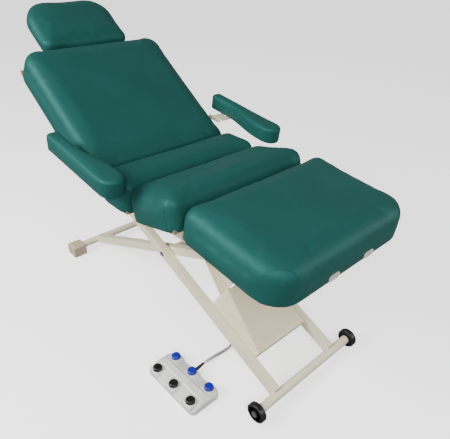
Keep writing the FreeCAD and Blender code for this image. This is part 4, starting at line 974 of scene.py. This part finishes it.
def bolt(x, y, z, side, size=6.0 * MM):
    """A hexagon head on a washer."""
    place = outward(x, y, z, side)
    profile = [(0.3 * MM, 0), (size * 1.25, 0), (size * 1.3, 0.4 * MM), (size * 1.25, 1.2 * MM),
               (0.3 * MM, 1.2 * MM)]
    washer = lathe("washer", profile, place, 32)
    rings = []
    for radius, height in ((1.0, 1.2), (1.0, 4.4), (0.9, 5.2), (0.62, 5.4)):
        ring = []
        for step in range(6):
            angle = math.radians(60 * step + 12)
            ring.append(place @ Vector((radius * size * math.cos(angle), radius * size * math.sin(angle),
                                        height * MM)))
        rings.append(ring)
    return [washer, loft("head", rings)]


def shifted(joint, y):
    """A joint's place at a given distance across."""
    x, _, z = JOINTS[joint]["pos_m"]
    return x, y, z


HINGE_FACE = 298.5 * MM


def fasteners():
    """Bolt heads on the outer faces of the hinge posts and knee plates."""
    hinges, knees = [], []
    for side in (1, -1):
        for joint in ("back_tilt", "thigh_tilt"):
            hinges += bolt(*shifted(joint, HINGE_FACE), side)
        knees += bolt(*shifted("knee_bend", HINGE_FACE), side)
    merged("hinge_bolts", hinges, "carriage", "steel")
    merged("knee_bolts", knees, "leg", "steel")


def wheel_hubs():
    """A stepped hub and a rim ring on the outer face of each wheel."""
    for word, side in (("left", 1), ("right", -1)):
        low, high = local_box(f"wheel_{word}", SEAT)
        face = max(abs(low.y), abs(high.y))
        place = outward(AXLE.x, face - 0.4 * MM, (low.z + high.z) / 2, side)
        hub = lathe("hub", [(13.2 * MM, 0.0), (13.2 * MM, 1.4 * MM), (12.6 * MM, 2.0 * MM), (12.2 * MM, 0.0)],
                    place, 40)
        ring = lathe("ring", [(36.0 * MM, 0.0), (36.0 * MM, 0.9 * MM), (35.2 * MM, 1.3 * MM),
                              (34.4 * MM, 0.9 * MM), (34.4 * MM, 0.0)], place, 56)
        merged(f"wheel_trim_{word}", [hub, ring], f"wheel_{word}", SLOT_OF[f"wheel_{word}"])


fasteners()
wheel_hubs()


# ---------------------------------------------------------------- floor and light


FLOOR_HALF = 70.0
FLOOR_GAP = 0.5 * MM
FLOOR_GLOW = 1.5
SURROUND_GLOW = 0.22


def studio():
    """A pale floor that casts no light on the couch, and a dim even surround."""
    far = FLOOR_HALF
    floor = add_mesh("floor", [(-far, -far, 0), (far, -far, 0), (far, far, 0), (-far, far, 0)],
                     [(0, 1, 2, 3)], False)
    floor.location.z = -FLOOR_GAP
    made, tree, shader, place = new_material("pale_floor")
    tree.links.new(mixed(tree, noise(tree, place, 1.2), (0.92, 0.92, 0.92), (0.95, 0.95, 0.95)),
                   shader.inputs["Base Color"])
    shader.inputs["Roughness"].default_value = 0.9
    shader.inputs["Specular IOR Level"].default_value = 0.1
    shader.inputs["Emission Color"].default_value = (1.0, 1.0, 1.0, 1.0)
    shader.inputs["Emission Strength"].default_value = FLOOR_GLOW
    floor.data.materials.append(made)
    floor.visible_glossy = False
    floor.visible_diffuse = False
    world = bpy.data.worlds.new("studio")
    bpy.context.scene.world = world
    world.use_nodes = True
    surround = world.node_tree.nodes["Background"]
    surround.inputs["Color"].default_value = (1.0, 1.0, 1.0, 1.0)
    surround.inputs["Strength"].default_value = SURROUND_GLOW


def lamp(name, place, aim, size, power):
    """A square soft lamp aimed at a point."""
    data = bpy.data.lights.new(name, "AREA")
    data.size = size
    data.energy = power
    item = bpy.data.objects.new(name, data)
    bpy.context.scene.collection.objects.link(item)
    item.location = place
    item.rotation_euler = (Vector(aim) - Vector(place)).to_track_quat("-Z", "Y").to_euler()


studio()
lamp("key", (-1.0, -3.4, 2.7), (0.0, 0.0, 0.4), 2.2, 230.0)
lamp("fill", (3.4, -2.4, 3.2), (0.0, 0.0, 0.4), 2.2, 150.0)
lamp("side", (3.2, 2.0, 1.6), (0.2, 0.0, 0.4), 1.6, 40.0)
